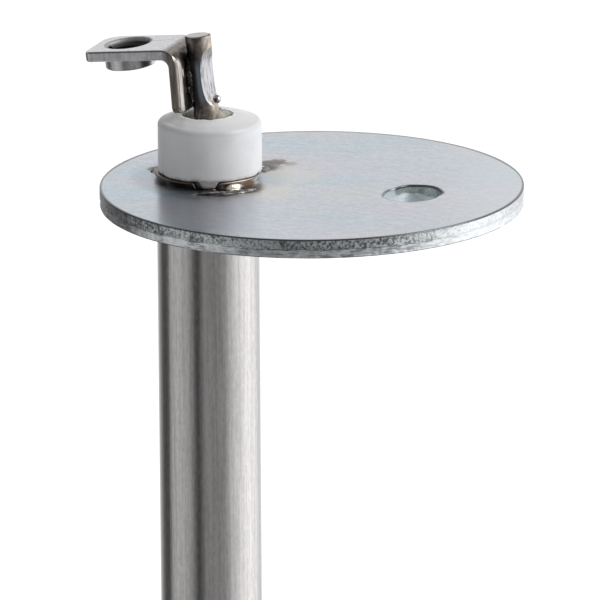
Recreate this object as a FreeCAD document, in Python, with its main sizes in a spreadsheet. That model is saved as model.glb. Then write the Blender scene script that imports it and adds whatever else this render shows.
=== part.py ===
"""Ignition electrode: a steel sleeve in a round flange, a ceramic-insulated rod and a screw terminal.

Millimetres and degrees. The origin is on the sleeve's axis, in the plane of the flange's underside, which is
the face that seats on the burner plate. +Z runs up to the terminal, -Z down to the spark tip, and +X towards
the flange's screw hole.
"""

import FreeCAD, Part
import Sketcher
from FreeCAD import Placement, Rotation, Vector

import math
import os

# Driving dimensions: the alias of the sheet's cell, its value and what it is.
DIMENSIONS = (
    ("flange_diameter", 49.5, "round flange, outside"),
    ("flange_thickness", 2.2, "sheet thickness"),
    ("flange_offset", 12.65, "from the sleeve's axis to the flange's centre"),
    ("flange_edge_roll", 0.25, "rounding that blanking leaves on the upper edges"),
    ("sleeve_hole_diameter", 12.5, "hole in the flange, which the sleeve is expanded to fill"),
    ("screw_hole_diameter", 7.0, "hole in the flange for the fixing screw"),
    ("screw_hole_radius", 12.7, "from the flange's centre to the screw hole"),
    ("screw_hole_angle", -5.0, "direction of the screw hole from the flange's centre"),
    ("sleeve_diameter", 12.0, "steel sleeve, outside"),
    ("sleeve_wall", 1.0, "wall of the sleeve"),
    ("sleeve_length", 70.0, "from the flange's underside to the sleeve's lower end"),
    ("sleeve_lip", 0.5, "how far the lower end is turned in"),
    ("sleeve_proud", 0.9, "how far the sleeve stands out of the flange"),
    ("sleeve_flare", 0.3, "how far the upper end is belled out"),
    ("notch_width", 2.6, "notch in the sleeve's upper end"),
    ("notch_depth", 0.85, "depth of that notch"),
    ("key_angle", -75.0, "direction of the notch and of the insulator's lug"),
    ("key_width", 1.9, "width of the insulator's lug"),
    ("head_diameter", 12.2, "glazed head insulator, outside"),
    ("head_height", 6.3, "height of the head above the sleeve"),
    ("head_shift", 0.3, "play that the head is set over by in the sleeve"),
    ("head_round", 0.5, "rounding of the head's upper edge"),
    ("recess_diameter", 5.5, "cement recess in the head"),
    ("recess_depth", 1.6, "depth of that recess"),
    ("head_bore_diameter", 3.8, "bore of the head"),
    ("bore_diameter", 3.4, "bore of the core insulator"),
    ("spigot_diameter", 9.3, "spigot of the head in the sleeve"),
    ("spigot_length", 8.2, "length of the spigot below the head"),
    ("bed_thickness", 1.0, "cement between the spigot and the core insulator"),
    ("core_diameter", 9.6, "core insulator in the sleeve"),
    ("nose_diameter", 8.7, "core insulator where it leaves the sleeve"),
    ("nose_length", 14.0, "how far the core insulator stands out of the sleeve"),
    ("pocket_diameter", 5.2, "cement pocket in the end of the nose"),
    ("pocket_depth", 2.6, "depth of that pocket"),
    ("rod_diameter", 3.0, "electrode rod"),
    ("tip_reach", 20.0, "how far the rod stands out of the nose"),
    ("tip_taper", 2.0, "length of the pointed end"),
    ("tip_diameter", 1.0, "diameter of the point"),
    ("collar_diameter", 4.6, "upset collar that stops the rod sliding out"),
    ("collar_length", 1.0, "length of that collar"),
    ("rod_bend_depth", 0.6, "how far below the head's top the rod starts to lean"),
    ("rod_top", 9.9, "rod above the head, along the leaning axis"),
    ("cement_sink", 0.25, "how far the rod's cement lies below the head's top"),
    ("terminal_angle", 173.5, "direction in which the terminal's arm points"),
    ("terminal_lean", 6.5, "lean of the rod and terminal towards the arm"),
    ("tab_width", 7.4, "width of the terminal strip"),
    ("tab_thickness", 1.25, "thickness of the terminal strip"),
    ("tab_face", 1.3, "from the rod's axis to the leg's welded face"),
    ("tab_reach", 13.2, "from the rod's axis to the arm's end"),
    ("tab_top", 8.95, "arm's top face above the head, along the leaning axis"),
    ("tab_bottom", 1.55, "leg's lower end above the head, along the leaning axis"),
    ("tab_bend", 1.0, "inner radius of the bend"),
    ("tab_corner", 0.8, "corner radius of the strip's ends"),
    ("thread_place", 9.18, "from the rod's axis to the threaded hole"),
    ("thread_diameter", 5.0, "M5 thread, major diameter"),
    ("thread_mouth", 0.22, "rounding of the hole's mouth"),
    ("nut_diameter", 5.9, "drawn collar under the arm, outside"),
    ("nut_depth", 2.65, "from the arm's top to the collar's end"),
    ("press_flat", 0.85, "from the rod's axis to the flat that the welding electrode left"),
    ("press_turn", -10.0, "how far that flat is turned from facing straight away from the strip"),
    ("press_low", 1.85, "lower end of that flat, above the head"),
    ("press_high", 8.4, "upper end of that flat, above the head"),
    ("seam_low", 2.0, "lower end of the terminal's weld, above the head"),
    ("seam_high", 7.4, "upper end of the terminal's weld, above the head"),
    ("seam_width", 2.7, "width of that weld across the strip"),
    ("seam_depth", 0.5, "depth of that weld, out from the strip"),
    ("bead_diameter", 0.96, "bead of expelled weld metal"),
    ("bead_height", 2.15, "bead's centre above the head"),
    ("bead_turn", 22.0, "direction of the bead from straight away from the strip"),
    ("bead_place", 1.35, "from the rod's axis to the bead's centre"),
    ("front_tack_angle", -60.0, "direction of the front tack weld"),
    ("front_tack_width", 2.7, "front tack weld, across the flange"),
    ("front_tack_sweep", 50.0, "angle that the front tack weld covers"),
    ("right_tack_angle", 50.0, "direction of the right tack weld"),
    ("right_tack_width", 2.2, "right tack weld, across the flange"),
    ("right_tack_sweep", 36.0, "angle that the right tack weld covers"),
    ("left_tack_angle", 164.0, "direction of the left tack weld"),
    ("left_tack_width", 1.7, "left tack weld, across the flange"),
    ("left_tack_sweep", 30.0, "angle that the left tack weld covers"),
    ("tack_height", 0.75, "tack welds, up the sleeve"),
)


class Size:
    """A number together with the sheet expression that gives it, so a formula is written once."""

    def __init__(self, value, text):
        self.value = float(value)
        self.text = text

    def join(self, other, sign, value):
        return Size(value, f"({self.text} {sign} {size(other).text})")

    def __add__(self, other):
        return self.join(other, "+", self.value + size(other).value)

    def __sub__(self, other):
        return self.join(other, "-", self.value - size(other).value)

    def __mul__(self, other):
        return self.join(other, "*", self.value * size(other).value)

    def __truediv__(self, other):
        return self.join(other, "/", self.value / size(other).value)

    def __neg__(self):
        return Size(-self.value, f"(-1 * {self.text})")


def size(number):
    return number if isinstance(number, Size) else Size(number, str(float(number)))


def cosine(angle):
    return Size(math.cos(math.radians(angle.value)), f"cos({angle.text} * 1deg)")


def sine(angle):
    return Size(math.sin(math.radians(angle.value)), f"sin({angle.text} * 1deg)")


class Sizes:
    """The spreadsheet's cells as attributes, each one a Size."""

    def __init__(self, document):
        self.sheet = document.addObject("Spreadsheet::Sheet", "Sizes")
        for row, (alias, value, meaning) in enumerate(DIMENSIONS, start=1):
            self.sheet.set(f"A{row}", meaning)
            self.sheet.set(f"B{row}", str(value))
            self.sheet.setAlias(f"B{row}", alias)
            setattr(self, alias, Size(value, f"Sizes.{alias}"))


doc = FreeCAD.newDocument("ignition_electrode")
d = Sizes(doc)
doc.recompute()

# Levels along the sleeve's axis, worked out from the driving dimensions.
rim_z = d.flange_thickness + d.sleeve_proud
head_z = rim_z + d.head_height
spigot_z = rim_z - d.spigot_length
core_z = spigot_z - d.bed_thickness
sleeve_end_z = -d.sleeve_length
lip_z = sleeve_end_z + d.sleeve_wall
nose_z = sleeve_end_z - d.nose_length
tip_z = nose_z - d.tip_reach
bore = d.bore_diameter / 2
head_bore = d.head_bore_diameter / 2
rod = d.rod_diameter / 2
bend_z = head_z - d.rod_bend_depth
sleeve_bore = d.sleeve_diameter / 2 - d.sleeve_wall

# The terminal's own frame: its origin is where the rod's axis meets the head's top, its Z is the leaning
# rod's axis and its X points along the arm.
terminal_turn = Rotation(Vector(0, 0, 1), d.terminal_angle.value).multiply(
    Rotation(Vector(0, 1, 0), d.terminal_lean.value)
)
terminal_frame = Placement(Vector(0, 0, head_z.value), terminal_turn)


# --- Helpers ---


def bind(feature, **settings):
    """Sets each property from its Size and ties it to the sheet."""
    for name, number in settings.items():
        setattr(feature, name, size(number).value)
        feature.setExpression(name, size(number).text)
    return feature


def new_body(label):
    body = doc.addObject("PartDesign::Body", label)
    body.Label = label
    return body


def new_sketch(body, plane, height=0, angle=0):
    """An empty sketch on one of the body's origin planes, raised along its normal and turned about it."""
    sketch = body.newObject("Sketcher::SketchObject", body.Label + "_sketch")
    face = next(f for f in body.Origin.OriginFeatures if f.Role == plane)
    sketch.AttachmentSupport = [(face, "")]
    sketch.MapMode = "FlatFace"
    sketch.AttachmentOffset = Placement(
        Vector(0, 0, size(height).value), Rotation(Vector(0, 0, 1), size(angle).value)
    )
    sketch.setExpression(".AttachmentOffset.Base.z", size(height).text)
    sketch.setExpression(".AttachmentOffset.Rotation.Angle", f"{size(angle).text} * 1deg")
    return sketch


def pin_point(sketch, geometry, position, place):
    """Dimensions one point of the sketch from the sketch's origin."""
    for kind, axis, number in (("DistanceX", -2, size(place[0])), ("DistanceY", -1, size(place[1]))):
        if abs(number.value) < 1e-9:
            sketch.addConstraint(Sketcher.Constraint("PointOnObject", geometry, position, axis))
            continue
        index = sketch.addConstraint(Sketcher.Constraint(kind, -1, 1, geometry, position, number.value))
        sketch.setExpression(f"Constraints[{index}]", number.text)


def draw_outline(sketch, points):
    """A closed outline of straight lines through the points, each point dimensioned."""
    flat = [Vector(size(x).value, size(y).value, 0) for x, y in points]
    first = sketch.GeometryCount
    for start, end in zip(flat, flat[1:] + flat[:1]):
        sketch.addGeometry(Part.LineSegment(start, end), False)
    for number in range(len(points)):
        following = first + (number + 1) % len(points)
        sketch.addConstraint(Sketcher.Constraint("Coincident", first + number, 2, following, 1))
    for number, place in enumerate(points):
        pin_point(sketch, first + number, 1, place)


def draw_circle(sketch, centre, diameter):
    middle = Vector(size(centre[0]).value, size(centre[1]).value, 0)
    circle = sketch.addGeometry(Part.Circle(middle, Vector(0, 0, 1), diameter.value / 2), False)
    index = sketch.addConstraint(Sketcher.Constraint("Diameter", circle, diameter.value))
    sketch.setExpression(f"Constraints[{index}]", diameter.text)
    if abs(middle.x) + abs(middle.y) < 1e-9:
        sketch.addConstraint(Sketcher.Constraint("Coincident", circle, 3, -1, 1))
    else:
        pin_point(sketch, circle, 3, centre)


def add_pad(body, sketch, length, **flags):
    pad = body.newObject("PartDesign::Pad", body.Label + "_pad")
    pad.Profile = sketch
    for name, flag in flags.items():
        setattr(pad, name, flag)
    bind(pad, Length=length)
    doc.recompute()
    return pad


def add_pocket(body, sketch, length, reverse=False):
    """A pocket that has to remove material: one that points away from the solid stops the build."""
    before = body.Shape.Volume
    pocket = body.newObject("PartDesign::Pocket", body.Label + "_pocket")
    pocket.Profile = sketch
    pocket.Reversed = reverse
    bind(pocket, Length=length)
    doc.recompute()
    if body.Shape.Volume >= before - 1e-3:
        raise RuntimeError(f"{pocket.Label} cuts nothing")
    return pocket


def add_turning(body, outline, angle=360.0):
    """A solid turned about the Z axis from an outline of (radius, height) points."""
    sketch = new_sketch(body, "XZ_Plane")
    draw_outline(sketch, outline)
    turning = body.newObject("PartDesign::Revolution", body.Label + "_turning")
    turning.Profile = sketch
    turning.ReferenceAxis = (sketch, ["V_Axis"])
    bind(turning, Angle=angle)
    doc.recompute()
    return turning


def round_edges(body, radius, chosen):
    """Fillets the edges of the body's last feature for which chosen(edge) is true."""
    base = body.Tip
    names = [f"Edge{n}" for n, edge in enumerate(base.Shape.Edges, start=1) if chosen(edge)]
    if not names:
        raise RuntimeError(f"{body.Label} has no such edge to round")
    fillet = body.newObject("PartDesign::Fillet", body.Label + "_rounding")
    fillet.Base = (base, names)
    bind(fillet, Radius=radius)
    doc.recompute()
    return fillet


def runs_through(**levels):
    """A test for edges whose two ends both lie at the given x, y or z levels."""

    def is_there(edge):
        ends = [vertex.Point for vertex in edge.Vertexes]
        return len(ends) == 2 and all(
            abs(getattr(end, axis) - level.value) < 1e-3 for end in ends for axis, level in levels.items()
        )

    return is_there


def round_ring(body, amount, radius, height):
    """Fillets the circular edges of that radius in the horizontal plane at that height."""

    def is_ring(edge):
        curve = edge.Curve
        return (
            isinstance(curve, Part.Circle)
            and abs(curve.Radius - size(radius).value) < 1e-3
            and abs(curve.Center.z - size(height).value) < 1e-3
        )

    return round_edges(body, amount, is_ring)


def shift(item, x=0, z=0):
    """Moves an unturned object along X and Z by amounts tied to the sheet."""
    item.Placement = Placement(Vector(size(x).value, 0, size(z).value), Rotation())
    item.setExpression(".Placement.Base.x", size(x).text)
    item.setExpression(".Placement.Base.z", size(z).text)
    return item


def add_primitive(kind, label, **sizes):
    """A Part primitive with its sizes tied to the sheet."""
    return bind(doc.addObject(kind, label), **sizes)


def lean(item, x=0, y=0, z=0, turn=0):
    """Puts an object at a place given in the terminal's leaning frame, turned about the rod's axis."""
    place = Vector(size(x).value, size(y).value, size(z).value)
    spin = Placement(Vector(), Rotation(Vector(0, 0, 1), size(turn).value))
    item.Placement = terminal_frame.multiply(spin).multiply(Placement(place, Rotation()))
    return item


def add_fuse(label, pieces):
    fuse = doc.addObject("Part::MultiFuse", label)
    fuse.Shapes = pieces
    doc.recompute()
    return fuse


def add_cut(label, base, tools):
    """The base less each tool in turn. The last cut carries the label."""
    for number, tool in enumerate(tools, start=1):
        cut = doc.addObject("Part::Cut", label if number == len(tools) else f"{label}_step{number}")
        cut.Base = base
        cut.Tool = tool
        base = cut
    doc.recompute()
    cut.Label = label
    return cut


# --- Sub-parts ---


def make_flange():
    """Blanked round flange with the sleeve's hole and the screw hole."""
    body = new_body("flange_plate")
    sketch = new_sketch(body, "XY_Plane")
    draw_circle(sketch, (d.flange_offset, 0), d.flange_diameter)
    draw_circle(sketch, (0, 0), d.sleeve_hole_diameter)
    add_pad(body, sketch, d.flange_thickness)
    screw = new_sketch(body, "XY_Plane", d.flange_thickness)
    across = d.flange_offset + d.screw_hole_radius * cosine(d.screw_hole_angle)
    aside = d.screw_hole_radius * sine(d.screw_hole_angle)
    draw_circle(screw, (across, aside), d.screw_hole_diameter)
    add_pocket(body, screw, d.flange_thickness)
    for radius in (d.flange_diameter / 2, d.screw_hole_diameter / 2):
        round_ring(body, d.flange_edge_roll, radius, d.flange_thickness)
    return body


def make_sleeve():
    """Steel sleeve: expanded in the flange, belled and notched above it, its lower end turned in."""
    body = new_body("sleeve_tube")
    outside = d.sleeve_diameter / 2
    expanded = d.sleeve_hole_diameter / 2
    add_turning(
        body,
        (
            (sleeve_bore - d.sleeve_lip, sleeve_end_z),
            (outside, sleeve_end_z),
            (outside, 0),
            (expanded, 0),
            (expanded, d.flange_thickness),
            (outside, d.flange_thickness),
            (outside + d.sleeve_flare, rim_z),
            (sleeve_bore + d.sleeve_flare, rim_z),
            (sleeve_bore, d.flange_thickness),
            (sleeve_bore, lip_z),
            (sleeve_bore - d.sleeve_lip, lip_z),
        ),
    )
    round_ring(body, d.sleeve_wall * 0.6, outside, sleeve_end_z)
    notch = new_sketch(body, "XY_Plane", rim_z, d.key_angle)
    half = d.notch_width / 2
    near, far = sleeve_bore - d.sleeve_wall, outside + d.sleeve_wall
    draw_outline(notch, ((near, -half), (far, -half), (far, half), (near, half)))
    add_pocket(body, notch, d.notch_depth)
    return body


def make_head_insulator():
    """Glazed head: a spigot in the sleeve, a cement recess round the rod and a lug in the sleeve's notch."""
    body = new_body("head_insulator")
    outside = d.head_diameter / 2
    spigot = d.spigot_diameter / 2
    recess = d.recess_diameter / 2
    add_turning(
        body,
        (
            (head_bore, spigot_z),
            (spigot, spigot_z),
            (spigot, rim_z),
            (outside, rim_z),
            (outside, head_z),
            (recess, head_z),
            (recess, head_z - d.recess_depth),
            (head_bore, head_z - d.recess_depth),
        ),
    )
    round_ring(body, d.head_round, outside, head_z)
    round_ring(body, d.head_round * 0.4, outside, rim_z)
    round_ring(body, d.head_round * 0.4, recess, head_z)
    lug = new_sketch(body, "XY_Plane", rim_z, d.key_angle)
    half = d.key_width / 2
    near = spigot - d.sleeve_flare
    far = outside - d.head_round
    draw_outline(lug, ((near, -half), (far, -half), (far, half), (near, half)))
    add_pad(body, lug, d.notch_depth * 0.9, Reversed=True)
    return shift(body, x=d.head_shift)


def make_core_insulator():
    """Long alumina tube that carries the insulation down the sleeve and out of its lower end."""
    body = new_body("core_insulator")
    outside = d.core_diameter / 2
    nose = d.nose_diameter / 2
    pocket = d.pocket_diameter / 2
    add_turning(
        body,
        (
            (bore, core_z),
            (outside, core_z),
            (outside, lip_z),
            (nose, lip_z),
            (nose, nose_z),
            (pocket, nose_z),
            (pocket, nose_z + d.pocket_depth),
            (bore, nose_z + d.pocket_depth),
        ),
    )
    round_ring(body, d.head_round, nose, nose_z)
    return body


def make_rod():
    """Heat-resisting rod: a point, an upset collar in the nose, a straight run and a leaning upper end."""
    shaft_z = tip_z + d.tip_taper
    collar_z = nose_z + d.pocket_depth - d.collar_length
    collar_radius = d.collar_diameter / 2
    tip = d.tip_diameter / 2
    point = add_primitive("Part::Cone", "rod_point", Radius1=tip, Radius2=rod, Height=d.tip_taper)
    straight = add_primitive("Part::Cylinder", "rod_shaft", Radius=rod, Height=bend_z - shaft_z)
    collar = add_primitive("Part::Cylinder", "rod_collar", Radius=collar_radius, Height=d.collar_length)
    knuckle = add_primitive("Part::Sphere", "rod_knuckle", Radius=rod)
    upper = add_primitive("Part::Cylinder", "rod_upper", Radius=rod, Height=d.rod_top + d.rod_bend_depth)
    shift(point, z=tip_z)
    shift(straight, z=shaft_z)
    shift(collar, z=collar_z)
    shift(knuckle, z=bend_z)
    upper.Placement = Placement(Vector(0, 0, bend_z.value), terminal_turn)
    whole = add_fuse("rod_whole", [straight, point, collar, knuckle, upper])
    blank = d.rod_diameter
    pressed = d.press_high - d.press_low
    press = add_primitive("Part::Box", "press_cutter", Length=blank, Width=blank * 2, Height=pressed)
    seat = add_primitive("Part::Box", "seat_cutter", Length=blank, Width=blank * 2, Height=d.rod_top)
    lean(press, -d.press_flat - blank, -blank, d.press_low, turn=d.press_turn)
    lean(seat, d.tab_face, -blank, d.tab_bottom)
    return add_cut("electrode_rod", whole, [press, seat])


def make_terminal():
    """Bent strip with a drawn and tapped collar in its arm. Built in the terminal's frame."""
    body = new_body("terminal_tab")
    outer, inner = d.tab_face, d.tab_face + d.tab_thickness
    under = d.tab_top - d.tab_thickness
    profile = new_sketch(body, "XZ_Plane")
    draw_outline(
        profile,
        (
            (outer, d.tab_bottom),
            (inner, d.tab_bottom),
            (inner, under),
            (d.tab_reach, under),
            (d.tab_reach, d.tab_top),
            (outer, d.tab_top),
        ),
    )
    add_pad(body, profile, d.tab_width, Midplane=True)

    round_edges(body, d.tab_bend, runs_through(x=inner, z=under))
    round_edges(body, d.tab_bend + d.tab_thickness, runs_through(x=outer, z=d.tab_top))
    for side in (-d.tab_width / 2, d.tab_width / 2):
        round_edges(body, d.tab_corner, runs_through(x=d.tab_reach, y=side))
        round_edges(body, d.tab_corner, runs_through(y=side, z=d.tab_bottom))
    nut = new_sketch(body, "XY_Plane", under)
    draw_circle(nut, (d.thread_place, 0), d.nut_diameter)
    add_pad(body, nut, d.nut_depth - d.tab_thickness, Reversed=True)
    tapped = new_sketch(body, "XY_Plane", d.tab_top)
    draw_circle(tapped, (d.thread_place, 0), d.thread_diameter)
    add_pocket(body, tapped, d.nut_depth)
    round_ring(body, d.thread_mouth, d.thread_diameter / 2, d.tab_top)
    round_ring(body, d.thread_mouth, d.nut_diameter / 2, d.tab_top - d.nut_depth)
    body.Placement = terminal_frame
    doc.recompute()
    return body


def make_terminal_weld(rod_piece):
    """Fused metal in the two corners between the rod and the strip."""
    block = add_primitive(
        "Part::Box",
        "weld_block",
        Length=d.seam_depth,
        Width=d.seam_width,
        Height=d.seam_high - d.seam_low,
    )
    lean(block, d.tab_face - d.seam_depth, -d.seam_width / 2, d.seam_low)
    return add_cut("terminal_weld", block, [rod_piece])


def make_weld_bead(rod_piece):
    """Bead of metal expelled at the foot of the press mark."""
    ball = add_primitive("Part::Sphere", "bead_ball", Radius=d.bead_diameter / 2)
    lean(ball, -d.bead_place, 0, d.bead_height, turn=d.bead_turn)
    return add_cut("weld_bead", ball, [rod_piece])


def make_rod_cement(rod_piece):
    """Cement round the rod in the head's recess."""
    filled = d.recess_depth - d.cement_sink
    plug = add_primitive("Part::Cylinder", "recess_plug", Radius=d.recess_diameter / 2, Height=filled)
    shift(plug, x=d.head_shift, z=head_z - d.recess_depth)
    return add_cut("rod_seal_cement", plug, [rod_piece])


def make_nose_cement(rod_piece):
    """Cement over the rod's collar in the end of the nose."""
    plug = add_primitive("Part::Cylinder", "nose_plug", Radius=d.pocket_diameter / 2, Height=d.pocket_depth)
    shift(plug, z=nose_z)
    return add_cut("nose_seal_cement", plug, [rod_piece])


def make_bed_cement(head):
    """Cement that beds the head's spigot in the sleeve and on the core insulator."""
    plug = add_primitive("Part::Cylinder", "bed_plug", Radius=sleeve_bore, Height=d.flange_thickness - core_z)
    opening = head_bore + d.head_shift
    passage = add_primitive("Part::Cylinder", "bed_passage", Radius=opening, Height=head_z - core_z)
    shift(plug, z=core_z)
    shift(passage, z=core_z)
    return add_cut("head_bed_cement", plug, [head, passage])


def make_tack_weld(label, angle, width, sweep, sleeve):
    """Tack weld in the corner between the sleeve and the flange, centred on a direction from the axis."""
    body = new_body(label + "_ring")
    inside = d.sleeve_diameter / 2
    top = d.flange_thickness
    outline = (
        (inside, top),
        (inside + width, top),
        (inside + width * 0.55, top + d.tack_height * 0.7),
        (inside, top + d.tack_height),
    )
    add_turning(body, outline, sweep)
    body.Placement = Placement(Vector(), Rotation(Vector(0, 0, 1), (angle - sweep / 2).value))
    return add_cut(label, body, [sleeve])


def build():
    sleeve = make_sleeve()
    head = make_head_insulator()
    rod_piece = make_rod()
    return [
        make_flange(),
        sleeve,
        make_tack_weld("front_tack_weld", d.front_tack_angle, d.front_tack_width, d.front_tack_sweep, sleeve),
        make_tack_weld("right_tack_weld", d.right_tack_angle, d.right_tack_width, d.right_tack_sweep, sleeve),
        make_tack_weld("left_tack_weld", d.left_tack_angle, d.left_tack_width, d.left_tack_sweep, sleeve),
        head,
        make_core_insulator(),
        rod_piece,
        make_rod_cement(rod_piece),
        make_nose_cement(rod_piece),
        make_bed_cement(head),
        make_terminal(),
        make_terminal_weld(rod_piece),
        make_weld_bead(rod_piece),
    ]


def check_and_write(parts):
    doc.recompute()
    for item in doc.Objects:
        if "Invalid" in item.State or "Error" in item.State:
            raise RuntimeError(f"{item.Label} failed: {item.State}")
    os.makedirs("parts", exist_ok=True)
    for part in parts:
        shape = part.Shape
        if shape.isNull() or not shape.isValid() or not shape.Solids:
            raise RuntimeError(f"{part.Label} has no valid solid")
        shape.exportStep(f"parts/{part.Label}.step")
        print(f"{part.Label}: {len(shape.Solids)} solid(s), {shape.Volume:.2f} mm3")


check_and_write(build())
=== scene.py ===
import math

import bmesh
import bpy
from bpy.props import FloatProperty, FloatVectorProperty, PointerProperty
from mathutils import Matrix, Vector, noise


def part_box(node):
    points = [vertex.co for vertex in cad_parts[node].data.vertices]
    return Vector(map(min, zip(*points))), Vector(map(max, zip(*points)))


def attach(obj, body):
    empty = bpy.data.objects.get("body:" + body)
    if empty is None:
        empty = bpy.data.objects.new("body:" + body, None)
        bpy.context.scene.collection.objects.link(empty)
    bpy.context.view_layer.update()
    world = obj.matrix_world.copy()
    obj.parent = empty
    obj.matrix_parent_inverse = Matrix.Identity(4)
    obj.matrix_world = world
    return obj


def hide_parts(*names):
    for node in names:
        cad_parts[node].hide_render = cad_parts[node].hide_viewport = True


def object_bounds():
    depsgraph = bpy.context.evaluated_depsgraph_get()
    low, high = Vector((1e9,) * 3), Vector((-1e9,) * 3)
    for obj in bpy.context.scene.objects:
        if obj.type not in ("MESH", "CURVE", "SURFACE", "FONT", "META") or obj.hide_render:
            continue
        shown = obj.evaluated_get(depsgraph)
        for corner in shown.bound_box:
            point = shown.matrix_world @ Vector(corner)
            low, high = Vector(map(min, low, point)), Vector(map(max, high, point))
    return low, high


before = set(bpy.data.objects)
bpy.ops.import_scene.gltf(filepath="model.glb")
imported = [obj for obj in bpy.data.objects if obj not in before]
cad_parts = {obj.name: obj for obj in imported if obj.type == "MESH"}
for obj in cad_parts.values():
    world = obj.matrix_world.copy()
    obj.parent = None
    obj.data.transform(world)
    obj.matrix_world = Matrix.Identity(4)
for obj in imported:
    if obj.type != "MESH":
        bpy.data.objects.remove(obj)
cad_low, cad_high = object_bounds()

bl_info = {
    "name": "Ignition Electrode",
    "version": (1, 0, 0),
    "blender": (4, 5, 0),
    "location": "View3D > Sidebar > Electrode",
    "description": "Makes the finished pieces of a flange-mounted ignition electrode round its packed model",
    "category": "Add Mesh",
}

MM = 0.001
TURN = 2 * math.pi

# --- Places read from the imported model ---

FLANGE_LOW, FLANGE_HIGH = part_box("flange_plate")
HEAD_LOW, HEAD_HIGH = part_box("head_insulator")
SLEEVE_LOW, SLEEVE_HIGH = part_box("sleeve_tube")

FLANGE_TOP = FLANGE_HIGH.z
FLANGE_RADIUS = (FLANGE_HIGH.y - FLANGE_LOW.y) / 2
FLANGE_CENTRE = Vector(((FLANGE_LOW.x + FLANGE_HIGH.x) / 2, 0, 0))
RIM_TOP = SLEEVE_HIGH.z
HEAD_TOP = HEAD_HIGH.z
HEAD_CENTRE = Vector(((HEAD_LOW.x + HEAD_HIGH.x) / 2, 0, 0))
HEAD_RADIUS = (HEAD_HIGH.y - HEAD_LOW.y) / 2
NOSE_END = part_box("core_insulator")[0].z
ROD_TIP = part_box("electrode_rod")[0].z

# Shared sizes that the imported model's boxes don't give.
SLEEVE_RADIUS = 6.0 * MM
SLEEVE_WALL = 1.0 * MM
KEY_ANGLE = math.radians(-75)
KEY_CLEAR = math.radians(-12)
KEY_STAIN = math.radians(-69)
GLINT_END = math.radians(-47)
PINHOLE = math.radians(72)
SCREW = Vector((25.302 * MM, -1.107 * MM, 0))
ROD_RADIUS = 1.5 * MM

# The tapped hole, in the terminal's frame.
TAPPED_X = 9.06 * MM
TAPPED_Y = -0.22 * MM

# How far the arm rises across its width, and how far the leg's foot stands off.
ARM_RISE = math.radians(2.2)
LEG_SPLAY = math.radians(1.9)

# The hollow that the welding electrode pressed in the rod, in the terminal's frame.
PRESS_WAY = math.radians(170)
PRESS_MIDDLE = 4.85 * MM
PRESS_SPREAD = 3.62 * MM
PRESS_DEPTH = 0.70 * MM
PRESS_HOLLOW = 0.35 * MM
PRESS_RUNOUT = 0.55 * MM

# Depth of the head's recess under its rim, and the lens of the camera.
RECESS_DEPTH = 1.6 * MM
LENS_LENGTH = 480

# Direction of the camera's right, from the part's X.
VIEW_BEARING = math.radians(16)

# The terminal's frame: its origin is where the rod's axis meets the head's top, Z is the leaning rod's axis
# and X points along the arm.
TERMINAL = (
    Matrix.Translation((0, 0, HEAD_TOP))
    @ Matrix.Rotation(math.radians(173.5), 4, "Z")
    @ Matrix.Rotation(math.radians(6.5), 4, "Y")
)


def rightward(x, y):
    """How far a place lies towards the view's right, from numbers or wires."""
    return x * math.cos(VIEW_BEARING) + y * math.sin(VIEW_BEARING)


def backward(x, y):
    """How far a place lies away from the view's front, from numbers or wires."""
    return y * math.cos(VIEW_BEARING) - x * math.sin(VIEW_BEARING)


def on_circle(radius, angle):
    """The X and Y of a place round the sleeve's axis."""
    return radius * math.cos(angle), radius * math.sin(angle)


def half_turn(angle):
    """The same direction as an angle from minus half a turn to half a turn."""
    return (angle + math.pi) % TURN - math.pi


def press_limit(up):
    """How far from the rod's axis the pressed hollow lies at a height, as a number or as a wire."""
    share = (up - PRESS_MIDDLE) / PRESS_SPREAD
    square = share * share
    return PRESS_DEPTH + PRESS_HOLLOW * square + PRESS_RUNOUT * (square * square)


# --- Shader maths ---


class Wire:
    """A node's output that takes part in Python arithmetic: each operation adds a Math node."""

    def __init__(self, nodes, socket):
        self.nodes = nodes
        self.socket = socket

    def __add__(self, other):
        return self.nodes.maths("ADD", self, other)

    def __sub__(self, other):
        return self.nodes.maths("SUBTRACT", self, other)

    def __mul__(self, other):
        return self.nodes.maths("MULTIPLY", self, other)

    def __truediv__(self, other):
        return self.nodes.maths("DIVIDE", self, other)

    def __rsub__(self, other):
        return self.nodes.maths("SUBTRACT", other, self)

    def __rtruediv__(self, other):
        return self.nodes.maths("DIVIDE", other, self)

    __radd__ = __add__
    __rmul__ = __mul__


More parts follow.
